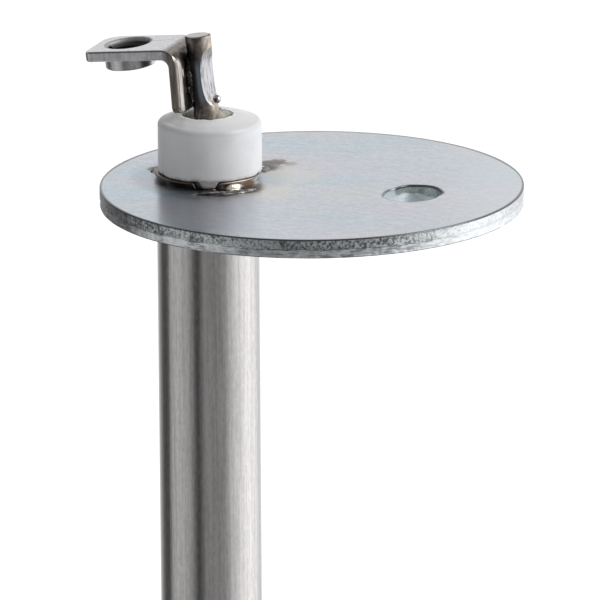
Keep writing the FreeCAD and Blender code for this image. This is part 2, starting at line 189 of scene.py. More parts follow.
class Nodes:
    """Builds a node tree with one call for each node."""

    def __init__(self, tree):
        self.tree = tree

    def add(self, kind, settings=None, sockets=None, output=0):
        """Adds a node: its settings first, then the values or wires of its sockets. Gives one output."""
        node = self.tree.nodes.new(kind)
        for name, value in (settings or {}).items():
            if name == "stops":
                self.set_stops(node.color_ramp, value)
            else:
                setattr(node, name, value)
        for key, value in (sockets or {}).items():
            self.feed(node.inputs[key], value)
        return Wire(self, node.outputs[output])

    def set_stops(self, ramp, stops):
        while len(ramp.elements) < len(stops):
            ramp.elements.new(1.0)
        for element, (position, colour) in zip(ramp.elements, stops):
            element.position = position
            element.color = colour if len(colour) == 4 else (*colour, 1.0)

    def feed(self, socket, value):
        if isinstance(value, Wire):
            self.tree.links.new(value.socket, socket)
        elif socket.type == "RGBA" and len(value) == 3:
            socket.default_value = (*value, 1.0)
        else:
            socket.default_value = value

    def maths(self, operation, *values):
        return self.add("ShaderNodeMath", {"operation": operation}, dict(enumerate(values)))

    def length(self, x, y):
        return self.maths("SQRT", x * x + y * y)

    def colours(self, value, *stops):
        """A colour ramp over a value."""
        return self.add("ShaderNodeValToRGB", {"stops": stops}, {0: value})

    def split(self, vector):
        """The X, Y and Z of a vector."""
        node = self.add("ShaderNodeSeparateXYZ", sockets={0: vector}).socket.node
        return [Wire(self, output) for output in node.outputs]

    def stretch(self, vector, scale, turn=(0, 0, 0)):
        return self.add("ShaderNodeMapping", sockets={"Vector": vector, "Rotation": turn, "Scale": scale})

    def ramp(self, value, low, high):
        """0 below low and 1 above high, smooth between. High may be the smaller."""
        sockets = {"Value": value, "From Min": low, "From Max": high}
        return self.add("ShaderNodeMapRange", {"interpolation_type": "SMOOTHSTEP"}, sockets)

    def noise(self, vector, scale, detail=3.0, roughness=0.55):
        sockets = {"Vector": vector, "Scale": scale, "Detail": detail, "Roughness": roughness}
        return self.add("ShaderNodeTexNoise", sockets=sockets)

    def cells(self, vector, scale):
        return self.add("ShaderNodeTexVoronoi", sockets={"Vector": vector, "Scale": scale})

    def blend(self, factor, first, second):
        """A colour between two others."""
        sockets = {0: factor, 6: first, 7: second}
        return self.add("ShaderNodeMix", {"data_type": "RGBA"}, sockets, output=2)


class Finish(Nodes):
    """A material under construction."""

    def __init__(self, name, **shader):
        self.material = bpy.data.materials.new(name)
        self.material.use_nodes = True
        super().__init__(self.material.node_tree)
        self.surface = self.tree.nodes["Principled BSDF"]
        self.place = self.add("ShaderNodeTexCoord", output="Object")
        self.x, self.y, self.z = self.split(self.place)
        self.apply(**shader)

    def apply(self, **shader):
        """Sets or links sockets of the surface; base_color stands for Base Color."""
        for name, value in shader.items():
            self.feed(self.surface.inputs[name.replace("_", " ").title().replace("Ior", "IOR")], value)

    def relief(self, height, depth):
        """Bumps the surface by a height from 0 to 1 times a depth in metres."""
        bump = self.add("ShaderNodeBump", sockets={"Height": height, "Distance": depth, "Strength": 1.0})
        self.apply(normal=bump)

    def away(self, x, y):
        """Distance from an upright line."""
        return self.length(self.x - x, self.y - y)


# --- Finishes ---


def heat_spot(finish, angle, radius, reach, rag=4.0):
    """1 at a weld's place on the flange, falling to 0 at its reach, with a ragged edge."""
    ragged = (finish.noise(finish.place, 520, 6.0, 0.72) - 0.44) * (rag * MM)
    return finish.ramp(finish.away(*on_circle(radius, math.radians(angle))) + ragged, reach, 0.35 * reach)


def zinc_finish(colour):
    """Clear zinc plate: faint passivation colours, fine grain, heat tint round the welds, painted reflections
    and painted edge shade, and cut edges.
    """
    finish = Finish("zinc_plate", metallic=1.0)
    cloud = finish.noise(finish.stretch(finish.place, (0.45, 1.3, 1)), 95, 2.0, 0.5)
    stain = finish.noise(finish.stretch(finish.place, (0.5, 1.5, 1)), 150, 3.0)
    grain = finish.noise(finish.stretch(finish.place, (0.7, 1.2, 1)), 3400, 4.0, 0.75)
    mottle = finish.noise(finish.stretch(finish.place, (0.7, 1.2, 1)), 900, 5.0, 0.7)
    lines = finish.noise(finish.stretch(finish.place, (0.14, 1.8, 1)), 900, 3.0, 0.6)
    tint = finish.blend(finish.ramp(cloud, 0.38, 0.62), (0.415, 0.52, 0.60), (0.54, 0.515, 0.575))
    tint = finish.blend(finish.ramp(stain, 0.52, 0.72) * 0.3, tint, (0.555, 0.575, 0.50))
    tint = finish.blend(0.45, tint, colour)
    shade = 0.56 * grain + 0.32 * mottle + 0.12 * lines
    tint = finish.blend(finish.ramp(shade, 0.54, 0.40) * 0.46, tint, (0.31, 0.36, 0.39))
    tint = finish.blend(finish.ramp(shade, 0.48, 0.60) * 0.36, tint, (0.65, 0.69, 0.72))

    # Degrees round the sleeve, distance from its axis, reach, raggedness and strength of each burnt patch.
    heat = 0.0
    for angle, radius, reach, rag, strength in (
        (-60, 7.5, 2.4, 2.0, 1.0),
        (-36, 7.3, 2.9, 1.6, 0.85),
        (-24, 6.9, 2.3, 1.6, 0.5),
        (50, 8.0, 3.3, 4.0, 1.0),
        (56, 10.1, 2.5, 4.0, 1.0),
        (66, 8.2, 2.6, 4.0, 0.8),
        (47, 11.2, 2.0, 3.0, 0.4),
        (164, 6.8, 1.9, 2.0, 1.0),
    ):
        spot = heat_spot(finish, angle, radius * MM, reach * MM, rag)
        heat = finish.maths("MAXIMUM", heat, spot * strength)
    straw = heat_spot(finish, -30, 9.6 * MM, 5.6 * MM)
    straw = finish.maths("MAXIMUM", straw, heat_spot(finish, 16, 9.8 * MM, 5.2 * MM))
    burn = finish.colours(
        heat,
        (0.0, (0.60, 0.57, 0.50)),
        (0.35, (0.36, 0.33, 0.30)),
        (0.60, (0.14, 0.125, 0.12)),
        (1.0, (0.05, 0.042, 0.04)),
    )
    top_only = finish.ramp(finish.z, FLANGE_TOP - 0.3 * MM, FLANGE_TOP - 0.02 * MM)
    tint = finish.blend(finish.ramp(straw, 0.05, 1.0) * top_only * 0.45, tint, (0.61, 0.585, 0.51))
    tint = finish.blend(finish.ramp(heat, 0.02, 0.45) * top_only, tint, burn)

    # Painted reflections: a dark one of the head in front of the sleeve, and a bright one at the far right.
    to_right = rightward(finish.x, finish.y)
    to_front = finish.x * math.sin(VIEW_BEARING) - finish.y * math.cos(VIEW_BEARING)
    painted_dark_reflection = finish.ramp(finish.away(0, 0), 11.5 * MM, 6.5 * MM) * finish.ramp(to_front, 2.5 * MM, 5.5 * MM)
    painted_dark_reflection = painted_dark_reflection * finish.ramp(to_right, 4.2 * MM, 1.5 * MM) * finish.ramp(to_right, -7.0 * MM, -5.0 * MM)
    tint = finish.blend(painted_dark_reflection * 0.36 * top_only, tint, (0.26, 0.30, 0.33))
    tint = finish.blend(finish.ramp(to_right, 24 * MM, 35 * MM) * 0.4 * top_only, tint, (0.68, 0.71, 0.73))

    # The screw hole's wall: a burnished band above, thicker to the right, and torn metal below it.
    wall = finish.ramp(finish.z, FLANGE_TOP - 0.07 * MM, FLANGE_TOP - 0.16 * MM)
    from_screw = finish.away(SCREW.x, SCREW.y)
    in_hole = finish.ramp(from_screw, 4.9 * MM, 4.7 * MM) * wall
    right_of_screw = rightward(finish.x - SCREW.x, finish.y - SCREW.y)
    wave = finish.noise(finish.place, 900, 4.0) * (0.7 * MM) + 0.58 * MM
    band = wave + finish.ramp(right_of_screw, 0.4 * MM, 2.0 * MM) * (0.4 * MM)
    band = band - finish.ramp(right_of_screw, -1.9 * MM, -2.8 * MM) * (2.0 * MM)
    burnished = finish.ramp(FLANGE_TOP - finish.z, band + 0.07 * MM, band - 0.07 * MM)
    worn = finish.blend(finish.ramp(shade, 0.4, 0.6), (0.32, 0.355, 0.35), (0.58, 0.63, 0.62))
    torn = finish.blend(finish.ramp(shade, 0.35, 0.62), (0.60, 0.71, 0.77), (0.88, 0.95, 0.98))
    torn = finish.blend(finish.ramp(right_of_screw, -1.0 * MM, -2.2 * MM) * 0.7, torn, (0.50, 0.57, 0.61))
    tint = finish.blend(in_hole, tint, finish.blend(burnished, torn, worn))

    # The outer wall: pebbled above the border of the tear, smoother and paler below it.
    outer = finish.ramp(from_screw, 5.0 * MM, 5.3 * MM) * wall
    below = finish.add("ShaderNodeAttribute", {"attribute_name": "torn"}, output="Fac")
    pebbles = finish.noise(finish.place, 3000, 4.0, 0.7)
    broad = finish.noise(finish.place, 260, 3.0)
    level = finish.noise(finish.stretch(finish.place, (0.5, 0.5, 2.6)), 1300, 4.0, 0.7)
    pebbled = finish.ramp(pebbles + 0.5 * broad, 0.62, 0.86)
    upper = finish.blend(pebbled, (0.13, 0.135, 0.14), (0.70, 0.74, 0.76))
    lower = finish.blend(finish.ramp(level, 0.36, 0.58), (0.34, 0.36, 0.37), (0.80, 0.84, 0.87))
    side = finish.blend(below, upper, lower)
    # Painted shade: a dark line in the crease at the border of the tear.
    crease_shade = finish.ramp(below, 0.1, 0.4) * finish.ramp(below, 0.95, 0.6)
    side = finish.blend(crease_shade * 0.8, side, (0.10, 0.10, 0.105))
    flaky = finish.ramp(to_right, -9 * MM, -6 * MM) * finish.ramp(to_right, 5 * MM, -1 * MM)
    flaky = flaky * finish.ramp(broad, 0.36, 0.56)
    side = finish.blend(flaky * below * 0.8, side, (0.93, 0.96, 0.98))
    # Painted light on the outer wall's far right, and painted shade on its far left.
    side = finish.blend(finish.ramp(to_right, 22 * MM, 31 * MM) * 0.65, side, (0.86, 0.88, 0.90))
    side = finish.blend(finish.ramp(to_right, -7 * MM, -11.5 * MM) * 0.55, side, (0.22, 0.225, 0.235))
    tint = finish.blend(outer, tint, side)

    # Painted shade: a thin dark line along the plate's sheared edges, above and below, and round the screw
    # hole's rim.
    from_middle = finish.away(FLANGE_CENTRE.x, 0)
    above = finish.ramp(finish.z, FLANGE_TOP - 0.20 * MM, FLANGE_TOP - 0.12 * MM)
    behind_screw = backward(finish.x - SCREW.x, finish.y - SCREW.y)
    line_from = FLANGE_RADIUS - 0.34 * MM - finish.ramp(behind_screw, 6 * MM, 16 * MM) * (0.26 * MM)
    corner = finish.ramp(from_middle, line_from, line_from + 0.18 * MM) * above
    under = finish.ramp(finish.z, 0.13 * MM, 0.06 * MM) * finish.ramp(broad, 0.40, 0.50)
    sheared = finish.add("ShaderNodeAttribute", {"attribute_name": "sheared"}, output="Fac")
    hole_front = finish.ramp(-0.85 * right_of_screw - 0.5 * behind_screw, 0.2 * MM, 1.5 * MM) * 0.8
    hole_back = finish.ramp(0.5 * right_of_screw + behind_screw, 0.8 * MM, 1.6 * MM)
    hole_edge = finish.ramp(from_screw, 4.9 * MM, 4.7 * MM) * finish.ramp(sheared, 0.3, 0.7)
    wall_edge = in_hole * finish.ramp(finish.z, FLANGE_TOP - 0.30 * MM, FLANGE_TOP - 0.20 * MM)
    hole_edge_shade = hole_edge * finish.maths("MAXIMUM", hole_front, hole_back)
    hole_edge_shade = finish.maths("MAXIMUM", hole_edge_shade, wall_edge * hole_back)
    painted_edge_shade = finish.maths("MAXIMUM", finish.maths("MAXIMUM", corner, under * wall), hole_edge_shade)
    tint = finish.blend(painted_edge_shade * 0.85, tint, (0.07, 0.07, 0.07))
    dulled = finish.ramp(finish.away(0, 0), 10.5 * MM, 7.5 * MM)
    finish.apply(
        base_color=tint,
        metallic=1.0 - 0.55 * in_hole * (1.0 - burnished),
        roughness=0.15 + 0.10 * mottle + 0.06 * grain + 0.22 * wall + 0.15 * dulled,
    )
    finish.relief(0.35 * grain + 0.2 * mottle + 1.5 * pebbles * outer, 0.008 * MM)
    return finish.material


def sleeve_finish(colour):
    """Drawn stainless tube: fine lengthwise lines and specks, blackened at the rim by welding and by a
    painted dark reflection.
    """
    finish = Finish("drawn_stainless", metallic=1.0)
    lines = finish.noise(finish.stretch(finish.place, (1, 1, 0.02)), 3500, 3.0, 0.6)
    specks = finish.noise(finish.stretch(finish.place, (1, 1, 0.35)), 2800, 4.0, 0.75)
    shade = finish.blend(finish.ramp(0.5 * lines + 0.5 * specks, 0.36, 0.64), (0.50, 0.485, 0.475), colour)
    ragged = finish.noise(finish.place, 800, 3.0) * (0.5 * MM)
    soot = finish.ramp(finish.z + ragged, FLANGE_TOP - 0.1 * MM, FLANGE_TOP + 0.3 * MM)
    smear = finish.noise(finish.stretch(finish.place, (1, 1, 2.5)), 420, 4.0, 0.5)
    # The near-black scorch is weld blackening, and on the rim's left also a painted dark reflection.
    scorch_and_reflection = finish.blend(finish.ramp(smear, 0.44, 0.70), (0.030, 0.027, 0.026), (0.24, 0.215, 0.185))
    # Right of the key the rim stays bright, with brown temper colours.
    to_clear = finish.x * math.cos(KEY_CLEAR) + finish.y * math.sin(KEY_CLEAR)
    bright_side = finish.ramp(to_clear, 3.9 * MM, 4.9 * MM)
    temper = finish.blend(finish.ramp(smear, 0.36, 0.60), (0.36, 0.25, 0.17), (0.88, 0.83, 0.78))
    scorch_and_reflection = finish.blend(bright_side, scorch_and_reflection, temper)
    brink = finish.ramp(finish.z + 0.3 * ragged, RIM_TOP - 0.30 * MM, RIM_TOP - 0.02 * MM)
    scorch_and_reflection = finish.blend(brink * 0.75, scorch_and_reflection, (0.17, 0.14, 0.12))
    finish.apply(base_color=finish.blend(soot, shade, scorch_and_reflection), roughness=0.13 + 0.12 * specks + 0.14 * soot)
    finish.relief(0.6 * lines + 0.6 * specks, 0.005 * MM)
    return finish.material


def weld_finish(name, ridge_radius, soot=0.0):
    """Fused metal: a dark skin with straw and blue temper colours, painted glints, and a painted highlight
    along its ridge.
    """
    finish = Finish(name, metallic=1.0)
    patch = finish.noise(finish.place, 560, 4.0, 0.6)
    fine = finish.noise(finish.place, 4200, 4.0, 0.7)
    temper = finish.colours(
        patch,
        (0.32, (0.035, 0.032, 0.032)),
        (0.46, (0.10, 0.09, 0.085)),
        (0.58, (0.26, 0.24, 0.23)),
        (0.68, (0.42, 0.28, 0.18)),
    )
    # For the seams the soot share is weld soot and also painted shade of the valley between rod and strip.
    temper = finish.blend(soot, temper, (0.012, 0.011, 0.011))
    # Painted glints: sparse bright flecks in the skin.
    painted_glint = finish.ramp(finish.noise(finish.place, 1500, 2.0), 0.64, 0.68)
    temper = finish.blend(painted_glint * (0.35 if ridge_radius else 1.0), temper, (0.92, 0.88, 0.82))
    if ridge_radius:
        # Painted highlight along the run's ridge.
        off_ridge = finish.maths("ABSOLUTE", finish.away(0, 0) + (fine - 0.5) * (0.3 * MM) - ridge_radius)
        ridge = finish.ramp(off_ridge, 0.36 * MM, 0.08 * MM) * finish.ramp(patch, 0.30, 0.5)
        ridge = ridge * finish.ramp(finish.x, 5.6 * MM, 3.6 * MM)
        temper = finish.blend(ridge, temper, (0.58, 0.56, 0.54))
        # Painted glint near the front run's end by the rim.
        from_end_glint = finish.away(*on_circle(6.6 * MM, GLINT_END)) + (fine - 0.5) * (0.5 * MM)
        painted_end_glint = finish.ramp(from_end_glint, 1.1 * MM, 0.5 * MM)
        temper = finish.blend(painted_end_glint, temper, (0.95, 0.86, 0.76))
    finish.apply(base_color=temper, roughness=0.16 + 0.28 * fine)
    finish.relief(0.7 * fine + 0.6 * patch, 0.03 * MM)
    return finish.material


def glaze_finish(colour):
    """White glaze over alumina, with small pits, and grey cement stain at the key and the lower edge."""
    finish = Finish("white_glaze", ior=1.5)
    cast = finish.noise(finish.place, 260, 3.0)
    dots = finish.ramp(finish.cells(finish.place, 1100), 0.14, 0.04)
    pits = dots * finish.ramp(finish.noise(finish.place, 420, 2.0), 0.58, 0.66)
    ragged = finish.ramp(finish.noise(finish.place, 1000, 5.0, 0.7), 0.46, 0.62)
    low = finish.ramp(finish.z, RIM_TOP + 0.55 * MM, RIM_TOP + 0.02 * MM)
    near_key = finish.ramp(finish.away(*on_circle(HEAD_RADIUS, KEY_STAIN)), 2.6 * MM, 1.0 * MM)
    cement = finish.ramp(finish.z + 0.25 * MM * ragged, RIM_TOP + 0.42 * MM, RIM_TOP + 0.16 * MM) * near_key
    glaze = finish.blend(finish.ramp(cast, 0.35, 0.7), colour, (0.83, 0.83, 0.845))
    glaze = finish.blend(low * ragged * 0.8, glaze, (0.36, 0.30, 0.25))
    glaze = finish.blend(cement, glaze, finish.blend(ragged, (0.42, 0.42, 0.42), (0.58, 0.58, 0.58)))
    glaze = finish.blend(pits * 0.5, glaze, (0.40, 0.37, 0.34))

    # The top: chipped paler round the recess, smeared with cement on its left, and one pinhole at the back.
    on_top = finish.ramp(finish.z, HEAD_TOP - 0.1 * MM, HEAD_TOP)
    from_rod = finish.away(0, 0)
    # Painted shade: the top face is greyed.
    glaze = finish.blend(on_top * 0.6, glaze, (0.70, 0.70, 0.715))
    # Painted shade: the shoulder ring round the top is greyed.
    shoulder = finish.ramp(finish.z, HEAD_TOP - 0.95 * MM, HEAD_TOP - 0.45 * MM)
    shoulder = shoulder * finish.ramp(from_rod, 4.4 * MM, 5.4 * MM)
    glaze = finish.blend(shoulder, glaze, (0.72, 0.72, 0.73))
    smear = finish.ramp(from_rod + (1.0 - ragged) * (0.8 * MM), 4.9 * MM, 3.6 * MM)
    smear = smear * finish.ramp(finish.x, -1.0 * MM, -2.4 * MM)
    glaze = finish.blend(on_top * smear * 0.7, glaze, (0.47, 0.455, 0.43))
    chipped = finish.ramp(from_rod + (ragged - 0.5) * (0.3 * MM), 3.42 * MM, 3.26 * MM)
    glaze = finish.blend(on_top * chipped, glaze, (0.95, 0.95, 0.95))
    pinhole = finish.ramp(finish.away(*on_circle(5.55 * MM, PINHOLE)), 0.3 * MM, 0.15 * MM)
    glaze = finish.blend(pinhole * 0.7, glaze, (0.25, 0.24, 0.23))
    finish.apply(base_color=glaze, roughness=0.34 + 0.2 * ragged * low + 0.3 * cement)
    finish.relief(cast * 1.1 - 0.5 * pits, 0.05 * MM)
    return finish.material


def alumina_finish():
    """Unglazed fired alumina: off-white, matt and finely grained."""
    finish = Finish("fired_alumina")
    grain = finish.noise(finish.place, 3200, 4.0, 0.7)
    cloud = finish.noise(finish.place, 140, 3.0)
    soot = finish.ramp(finish.z, NOSE_END + 4 * MM, NOSE_END)
    colour = finish.blend(finish.ramp(cloud, 0.35, 0.65), (0.80, 0.78, 0.73), (0.86, 0.85, 0.82))
    colour = finish.blend(soot * 0.35, colour, (0.45, 0.40, 0.35))
    finish.apply(base_color=colour, roughness=0.62 + 0.2 * grain)
    finish.relief(grain, 0.02 * MM)
    return finish.material


def cement_finish():
    """Refractory cement: grey-brown, sandy and matt."""
    finish = Finish("refractory_cement")
    grit = finish.noise(finish.place, 2600, 5.0, 0.75)
    patch = finish.noise(finish.place, 700, 3.0)
    colour = finish.blend(finish.ramp(patch, 0.35, 0.65), (0.27, 0.25, 0.22), (0.56, 0.54, 0.495))
    colour = finish.blend(finish.ramp(grit, 0.55, 0.75) * 0.6, colour, (0.65, 0.62, 0.57))
    finish.apply(base_color=colour, roughness=0.75)
    finish.relief(grit, 0.08 * MM)
    return finish.material


def terminal_frame(finish):
    """The place on the surface in the terminal's frame, whole and split."""
    inverse = TERMINAL.inverted()
    sockets = {"Vector": finish.place, "Location": inverse.translation, "Rotation": inverse.to_euler()}
    local = finish.add("ShaderNodeMapping", sockets=sockets)
    return (local, *finish.split(local))


def rod_finish(colour):
    """Oxidised heat-resisting wire, with bare metal where the welding electrode pressed it, and a painted
    highlight beside it.
    """
    finish = Finish("electrode_alloy", metallic=1.0)
    local, across, aside, up = terminal_frame(finish)
    facing_x, facing_y = math.cos(PRESS_WAY), math.sin(PRESS_WAY)
    depth = across * facing_x + aside * facing_y
    skin = finish.noise(finish.stretch(finish.place, (1, 1, 0.5)), 1900, 4.0, 0.7)
    patch = finish.noise(finish.place, 420, 3.0)
    scratch = finish.noise(finish.stretch(local, (1, 1, 0.10)), 2300, 4.0, 0.75)
    speck = finish.noise(finish.stretch(local, (1, 1, 0.3)), 1500, 3.0)
    oxide = finish.blend(finish.ramp(skin, 0.3, 0.7), (0.06, 0.05, 0.043), colour)

    # The weld's side of the rod is burnt nearly black, with a blue line beside the bare metal.
    burnt = finish.ramp(up + 0.6 * across, 0.6 * MM, 2.2 * MM)
    burnt = burnt * finish.ramp(up - 1.1 * across, 8.9 * MM, 7.4 * MM)
    burnt = burnt * finish.ramp(across, -1.0 * MM, 0.0)
    blue = burnt * finish.ramp(across, 0.5 * MM, -0.2 * MM) * finish.ramp(up, 7.6 * MM, 6.2 * MM)
    scale = finish.ramp(patch + 0.3 * skin, 0.5, 0.8)
    black = finish.blend(scale, (0.012, 0.012, 0.013), (0.055, 0.052, 0.052))
    tone = finish.blend(burnt, oxide, black)

    # The pressed hollow's border follows its depth at each height.
    limit = press_limit(up)
    tone = finish.blend(blue * finish.ramp(depth - limit, -1.1 * MM, -0.1 * MM), tone, (0.33, 0.39, 0.47))
    # Painted highlight: a bronze sheen on the side that faces the press.
    side_highlight = finish.ramp(depth + 0.5 * MM * patch, 1.0 * MM, 1.65 * MM)
    highlight_bronze = finish.blend(finish.ramp(skin, 0.4, 0.6), (0.40, 0.34, 0.29), (0.68, 0.60, 0.52))
    tone = finish.blend(side_highlight * 0.75, tone, highlight_bronze)
    edge = (finish.noise(finish.place, 1500, 3.0) - 0.5) * (0.10 * MM)
    bare = finish.ramp(depth - limit + edge, -0.09 * MM, -0.02 * MM)
    bare = bare * finish.ramp(limit, 1.42 * MM, 1.30 * MM)
    bare = bare * finish.ramp(up, 0.6 * MM, 1.0 * MM)
    steel = finish.blend(finish.ramp(scratch, 0.36, 0.56), (0.22, 0.21, 0.22), (0.57, 0.56, 0.58))
    steel = finish.blend(finish.ramp(speck, 0.60, 0.68) * 0.7, steel, (0.16, 0.155, 0.155))
    rosy = finish.ramp(limit, 0.95 * MM, 1.15 * MM)
    steel = finish.blend(rosy * 0.6, steel, (0.55, 0.47, 0.44))
    tone = finish.blend(bare, tone, steel)
    # Painted shade: a dark line round the edge of the cut end.
    cut_edge = finish.ramp(up, 9.72 * MM, 9.80 * MM)
    tone = finish.blend(cut_edge * 0.8, tone, (0.07, 0.06, 0.055))
    from_axis = finish.length(across, aside)
    cut_end = cut_edge * finish.ramp(from_axis, 1.42 * MM, 1.30 * MM)
    tone = finish.blend(cut_end, tone, (0.60, 0.56, 0.56))
    finish.apply(base_color=tone, roughness=0.36 + 0.16 * skin - 0.08 * bare)
    finish.relief(skin * 0.7 + scratch * bare * 1.4, 0.03 * MM)
    return finish.material


def tab_finish(colour):
    """Plated strip: satin faces, brown heat tint on the leg, a scratch, and painted shade in the tapped hole.
    """
    finish = Finish("terminal_steel", metallic=1.0)
    local, across, aside, up = terminal_frame(finish)
    grain = finish.noise(finish.stretch(local, (0.6, 1, 1)), 2600, 4.0, 0.7)
    brushed = finish.noise(finish.stretch(local, (1, 1, 0.12)), 2800, 3.0, 0.65)
    cloud = finish.noise(finish.place, 300, 3.0)
    base = finish.blend(finish.ramp(0.5 * grain + 0.5 * brushed, 0.36, 0.62), (0.50, 0.50, 0.52), colour)

    leg = finish.ramp(across + 0.4 * MM * cloud, 3.6 * MM, 2.7 * MM)
    brown = finish.blend(finish.ramp(brushed, 0.3, 0.65), (0.15, 0.125, 0.11), (0.27, 0.235, 0.21))
    off_middle = finish.maths("ABSOLUTE", aside)
    outer_face = finish.ramp(across, 1.95 * MM, 1.70 * MM) * finish.ramp(off_middle, 3.74 * MM, 3.62 * MM)
    # The leg's outer face is paler: less heat tint, and partly a painted highlight along its edge.
    pale = finish.blend(finish.ramp(brushed, 0.3, 0.6), (0.36, 0.32, 0.29), (0.66, 0.62, 0.58))
    brown = finish.blend(outer_face, brown, pale)
    tone = finish.blend(leg, base, brown)
    lumps = finish.ramp(finish.noise(finish.place, 1500, 4.0, 0.7), 0.42, 0.58)
    black = finish.blend(lumps, (0.018, 0.017, 0.017), (0.13, 0.115, 0.105))
    low_part = finish.ramp(across, 3.3 * MM, 2.1 * MM) * finish.ramp(across + 0.25 * up, 4.6 * MM, 3.9 * MM)
    tempered = finish.ramp(off_middle + 0.9 * MM * cloud, 2.7 * MM, 2.2 * MM) * low_part
    tone = finish.blend(tempered * 0.8, tone, finish.blend(lumps, (0.10, 0.085, 0.08), (0.42, 0.36, 0.32)))
    # Beside the weld the strip goes black: heat blackening, and painted shade of the valley between strip and
    # rod.
    near_weld = finish.ramp(off_middle + 0.9 * MM * cloud, 2.2 * MM, 1.7 * MM) * low_part
    tone = finish.blend(near_weld, tone, black)

    # Painted shade: the tapped hole's bore is painted near black and its funnelled mouth grey.
    from_hole = finish.length(across - TAPPED_X, aside - TAPPED_Y)
    inside = finish.ramp(from_hole, 2.66 * MM, 2.56 * MM) * finish.ramp(up, 8.86 * MM, 8.62 * MM)
    mouth = finish.ramp(from_hole, 2.95 * MM, 2.75 * MM) * finish.ramp(across, 3.0 * MM, 4.0 * MM)
    tone = finish.blend(mouth * 0.6, tone, (0.30, 0.295, 0.29))
    tone = finish.blend(inside, tone, (0.085, 0.08, 0.075))
    from_moon = finish.maths("ABSOLUTE", finish.length(across - 5.4 * MM, aside + 2.9 * MM) - 2.0 * MM)
    scratch = finish.ramp(from_moon, 0.09 * MM, 0.02 * MM) * finish.ramp(aside, -2.4 * MM, -1.6 * MM)
    tone = finish.blend(scratch * 0.7, tone, (0.20, 0.20, 0.21))
    # Painted shade: thin dark lines along the arm's top front edge and at its end.
    front_edge_shade = finish.ramp(aside - 0.5 * (up - 8.95 * MM), 3.62 * MM, 3.72 * MM)
    front_edge_shade = front_edge_shade * finish.ramp(up, 8.7 * MM, 8.8 * MM)
    end_edge_shade = finish.ramp(across, 12.95 * MM, 13.1 * MM) * finish.ramp(across, 1.0 * MM, 2.0 * MM)
    outline = finish.maths("MAXIMUM", front_edge_shade * finish.ramp(across, 1.8 * MM, 2.6 * MM), end_edge_shade)
    tone = finish.blend(outline * 0.8, tone, (0.10, 0.095, 0.09))
    finish.apply(base_color=tone, roughness=0.24 + 0.16 * grain + 0.3 * mouth)

    # The leg's face falls away towards its edge, and a blister stands beside the weld.
    fall = finish.ramp(aside, 2.3 * MM, 4.3 * MM) * outer_face
    fall = fall * finish.ramp(up, 8.4 * MM, 6.6 * MM) * 55.0
    blister_y, blister_z = aside - 2.0 * MM, up - 5.9 * MM
    from_blister = finish.maths("SQRT", blister_y * blister_y + 0.3 * blister_z * blister_z)
    blister = finish.ramp(from_blister, 0.5 * MM, 0.05 * MM) * outer_face * 14.0
    finish.relief(0.7 * grain + 0.5 * brushed - 1.5 * scratch - fall + blister, 0.012 * MM)
    return finish.material


def bead_finish():
    """Freshly expelled metal: bright, with dark flecks."""
    finish = Finish("expelled_metal", metallic=1.0)
    fleck = finish.noise(finish.place, 2400, 3.0, 0.6)
    metal = finish.blend(finish.ramp(fleck, 0.4, 0.6), (0.07, 0.065, 0.06), (0.62, 0.61, 0.61))
    finish.apply(base_color=metal, roughness=0.12 + 0.15 * fleck)
    finish.relief(fleck, 0.03 * MM)
    return finish.material


def floor_finish(colour):
    """Pale studio floor with a faint glow of its own, so that it reads as white."""
    finish = Finish("pale_floor", roughness=0.9, emission_color=(1, 1, 1), emission_strength=0.5)
    cloud = finish.noise(finish.place, 6, 2.0)
    pale = tuple(0.985 * c for c in colour)
    finish.apply(base_color=finish.blend(cloud, colour, pale))
    return finish.material


# --- Mesh tools ---


def roughness_at(point, scale, seed=0.0):
    """Smooth noise from -1 to 1 with features about 1/scale across."""
    return noise.noise(Vector(point) * scale + Vector((seed, seed, seed)))


def new_ring(bm, segments, place):
    """A circle of edges; place(angle) gives each vertex."""
    made = bmesh.ops.create_circle(bm, cap_ends=False, segments=segments, radius=1.0)
    ring = sorted(made["verts"], key=lambda v: math.atan2(v.co.y, v.co.x) % TURN)
    for index, vertex in enumerate(ring):
        vertex.co = place(TURN * index / segments)
    return ring


def loop_edges(bm, ring):
    count = len(ring)
    return [bm.edges.get((ring[i], ring[(i + 1) % count])) for i in range(count)]


def next_ring(bm, ring, place):
    """Extrudes a circle of edges into the next one of a tube."""
    made = bmesh.ops.extrude_edge_only(bm, edges=loop_edges(bm, ring))
    fresh = {v for v in made["geom"] if isinstance(v, bmesh.types.BMVert)}
    follow = []
    for index, vertex in enumerate(ring):
        partner = next(e.other_vert(vertex) for e in vertex.link_edges if e.other_vert(vertex) in fresh)
        partner.co = place(TURN * index / len(ring))
        follow.append(partner)
    return follow


def tube(bm, segments, places):
    """A tube through a list of place(angle) functions. Gives its rings."""
    rings = [new_ring(bm, segments, places[0])]
    for place in places[1:]:
        rings.append(next_ring(bm, rings[-1], place))
    return rings


def join_rings(bm, first, second):
    bmesh.ops.bridge_loops(bm, edges=loop_edges(bm, first) + loop_edges(bm, second))


def cap(bm, *rings):
    """Fills the flat area between one ring and any holes in it."""
    edges = [edge for ring in rings for edge in loop_edges(bm, ring)]
    bmesh.ops.triangle_fill(bm, use_beauty=True, use_dissolve=False, edges=edges)


def round_place(radius, height, centre=Vector((0, 0, 0)), wobble=None):
    """A function that gives the point of a level circle at an angle."""

    def place(angle):
        reach, level = radius, height
        if wobble:
            outward, upward = wobble(angle, radius, height)
            reach += outward
            level += upward
        return Vector((centre.x + reach * math.cos(angle), centre.y + reach * math.sin(angle), level))

    return place


def turned(bm, segments, profile, centre=Vector((0, 0, 0)), wobble=None):
    """A closed shape turned about an upright axis from a closed outline of (radius, height) points."""
    places = [round_place(r, z, centre, wobble) for r, z in profile]
    rings = tube(bm, segments, places)
    join_rings(bm, rings[0], rings[-1])


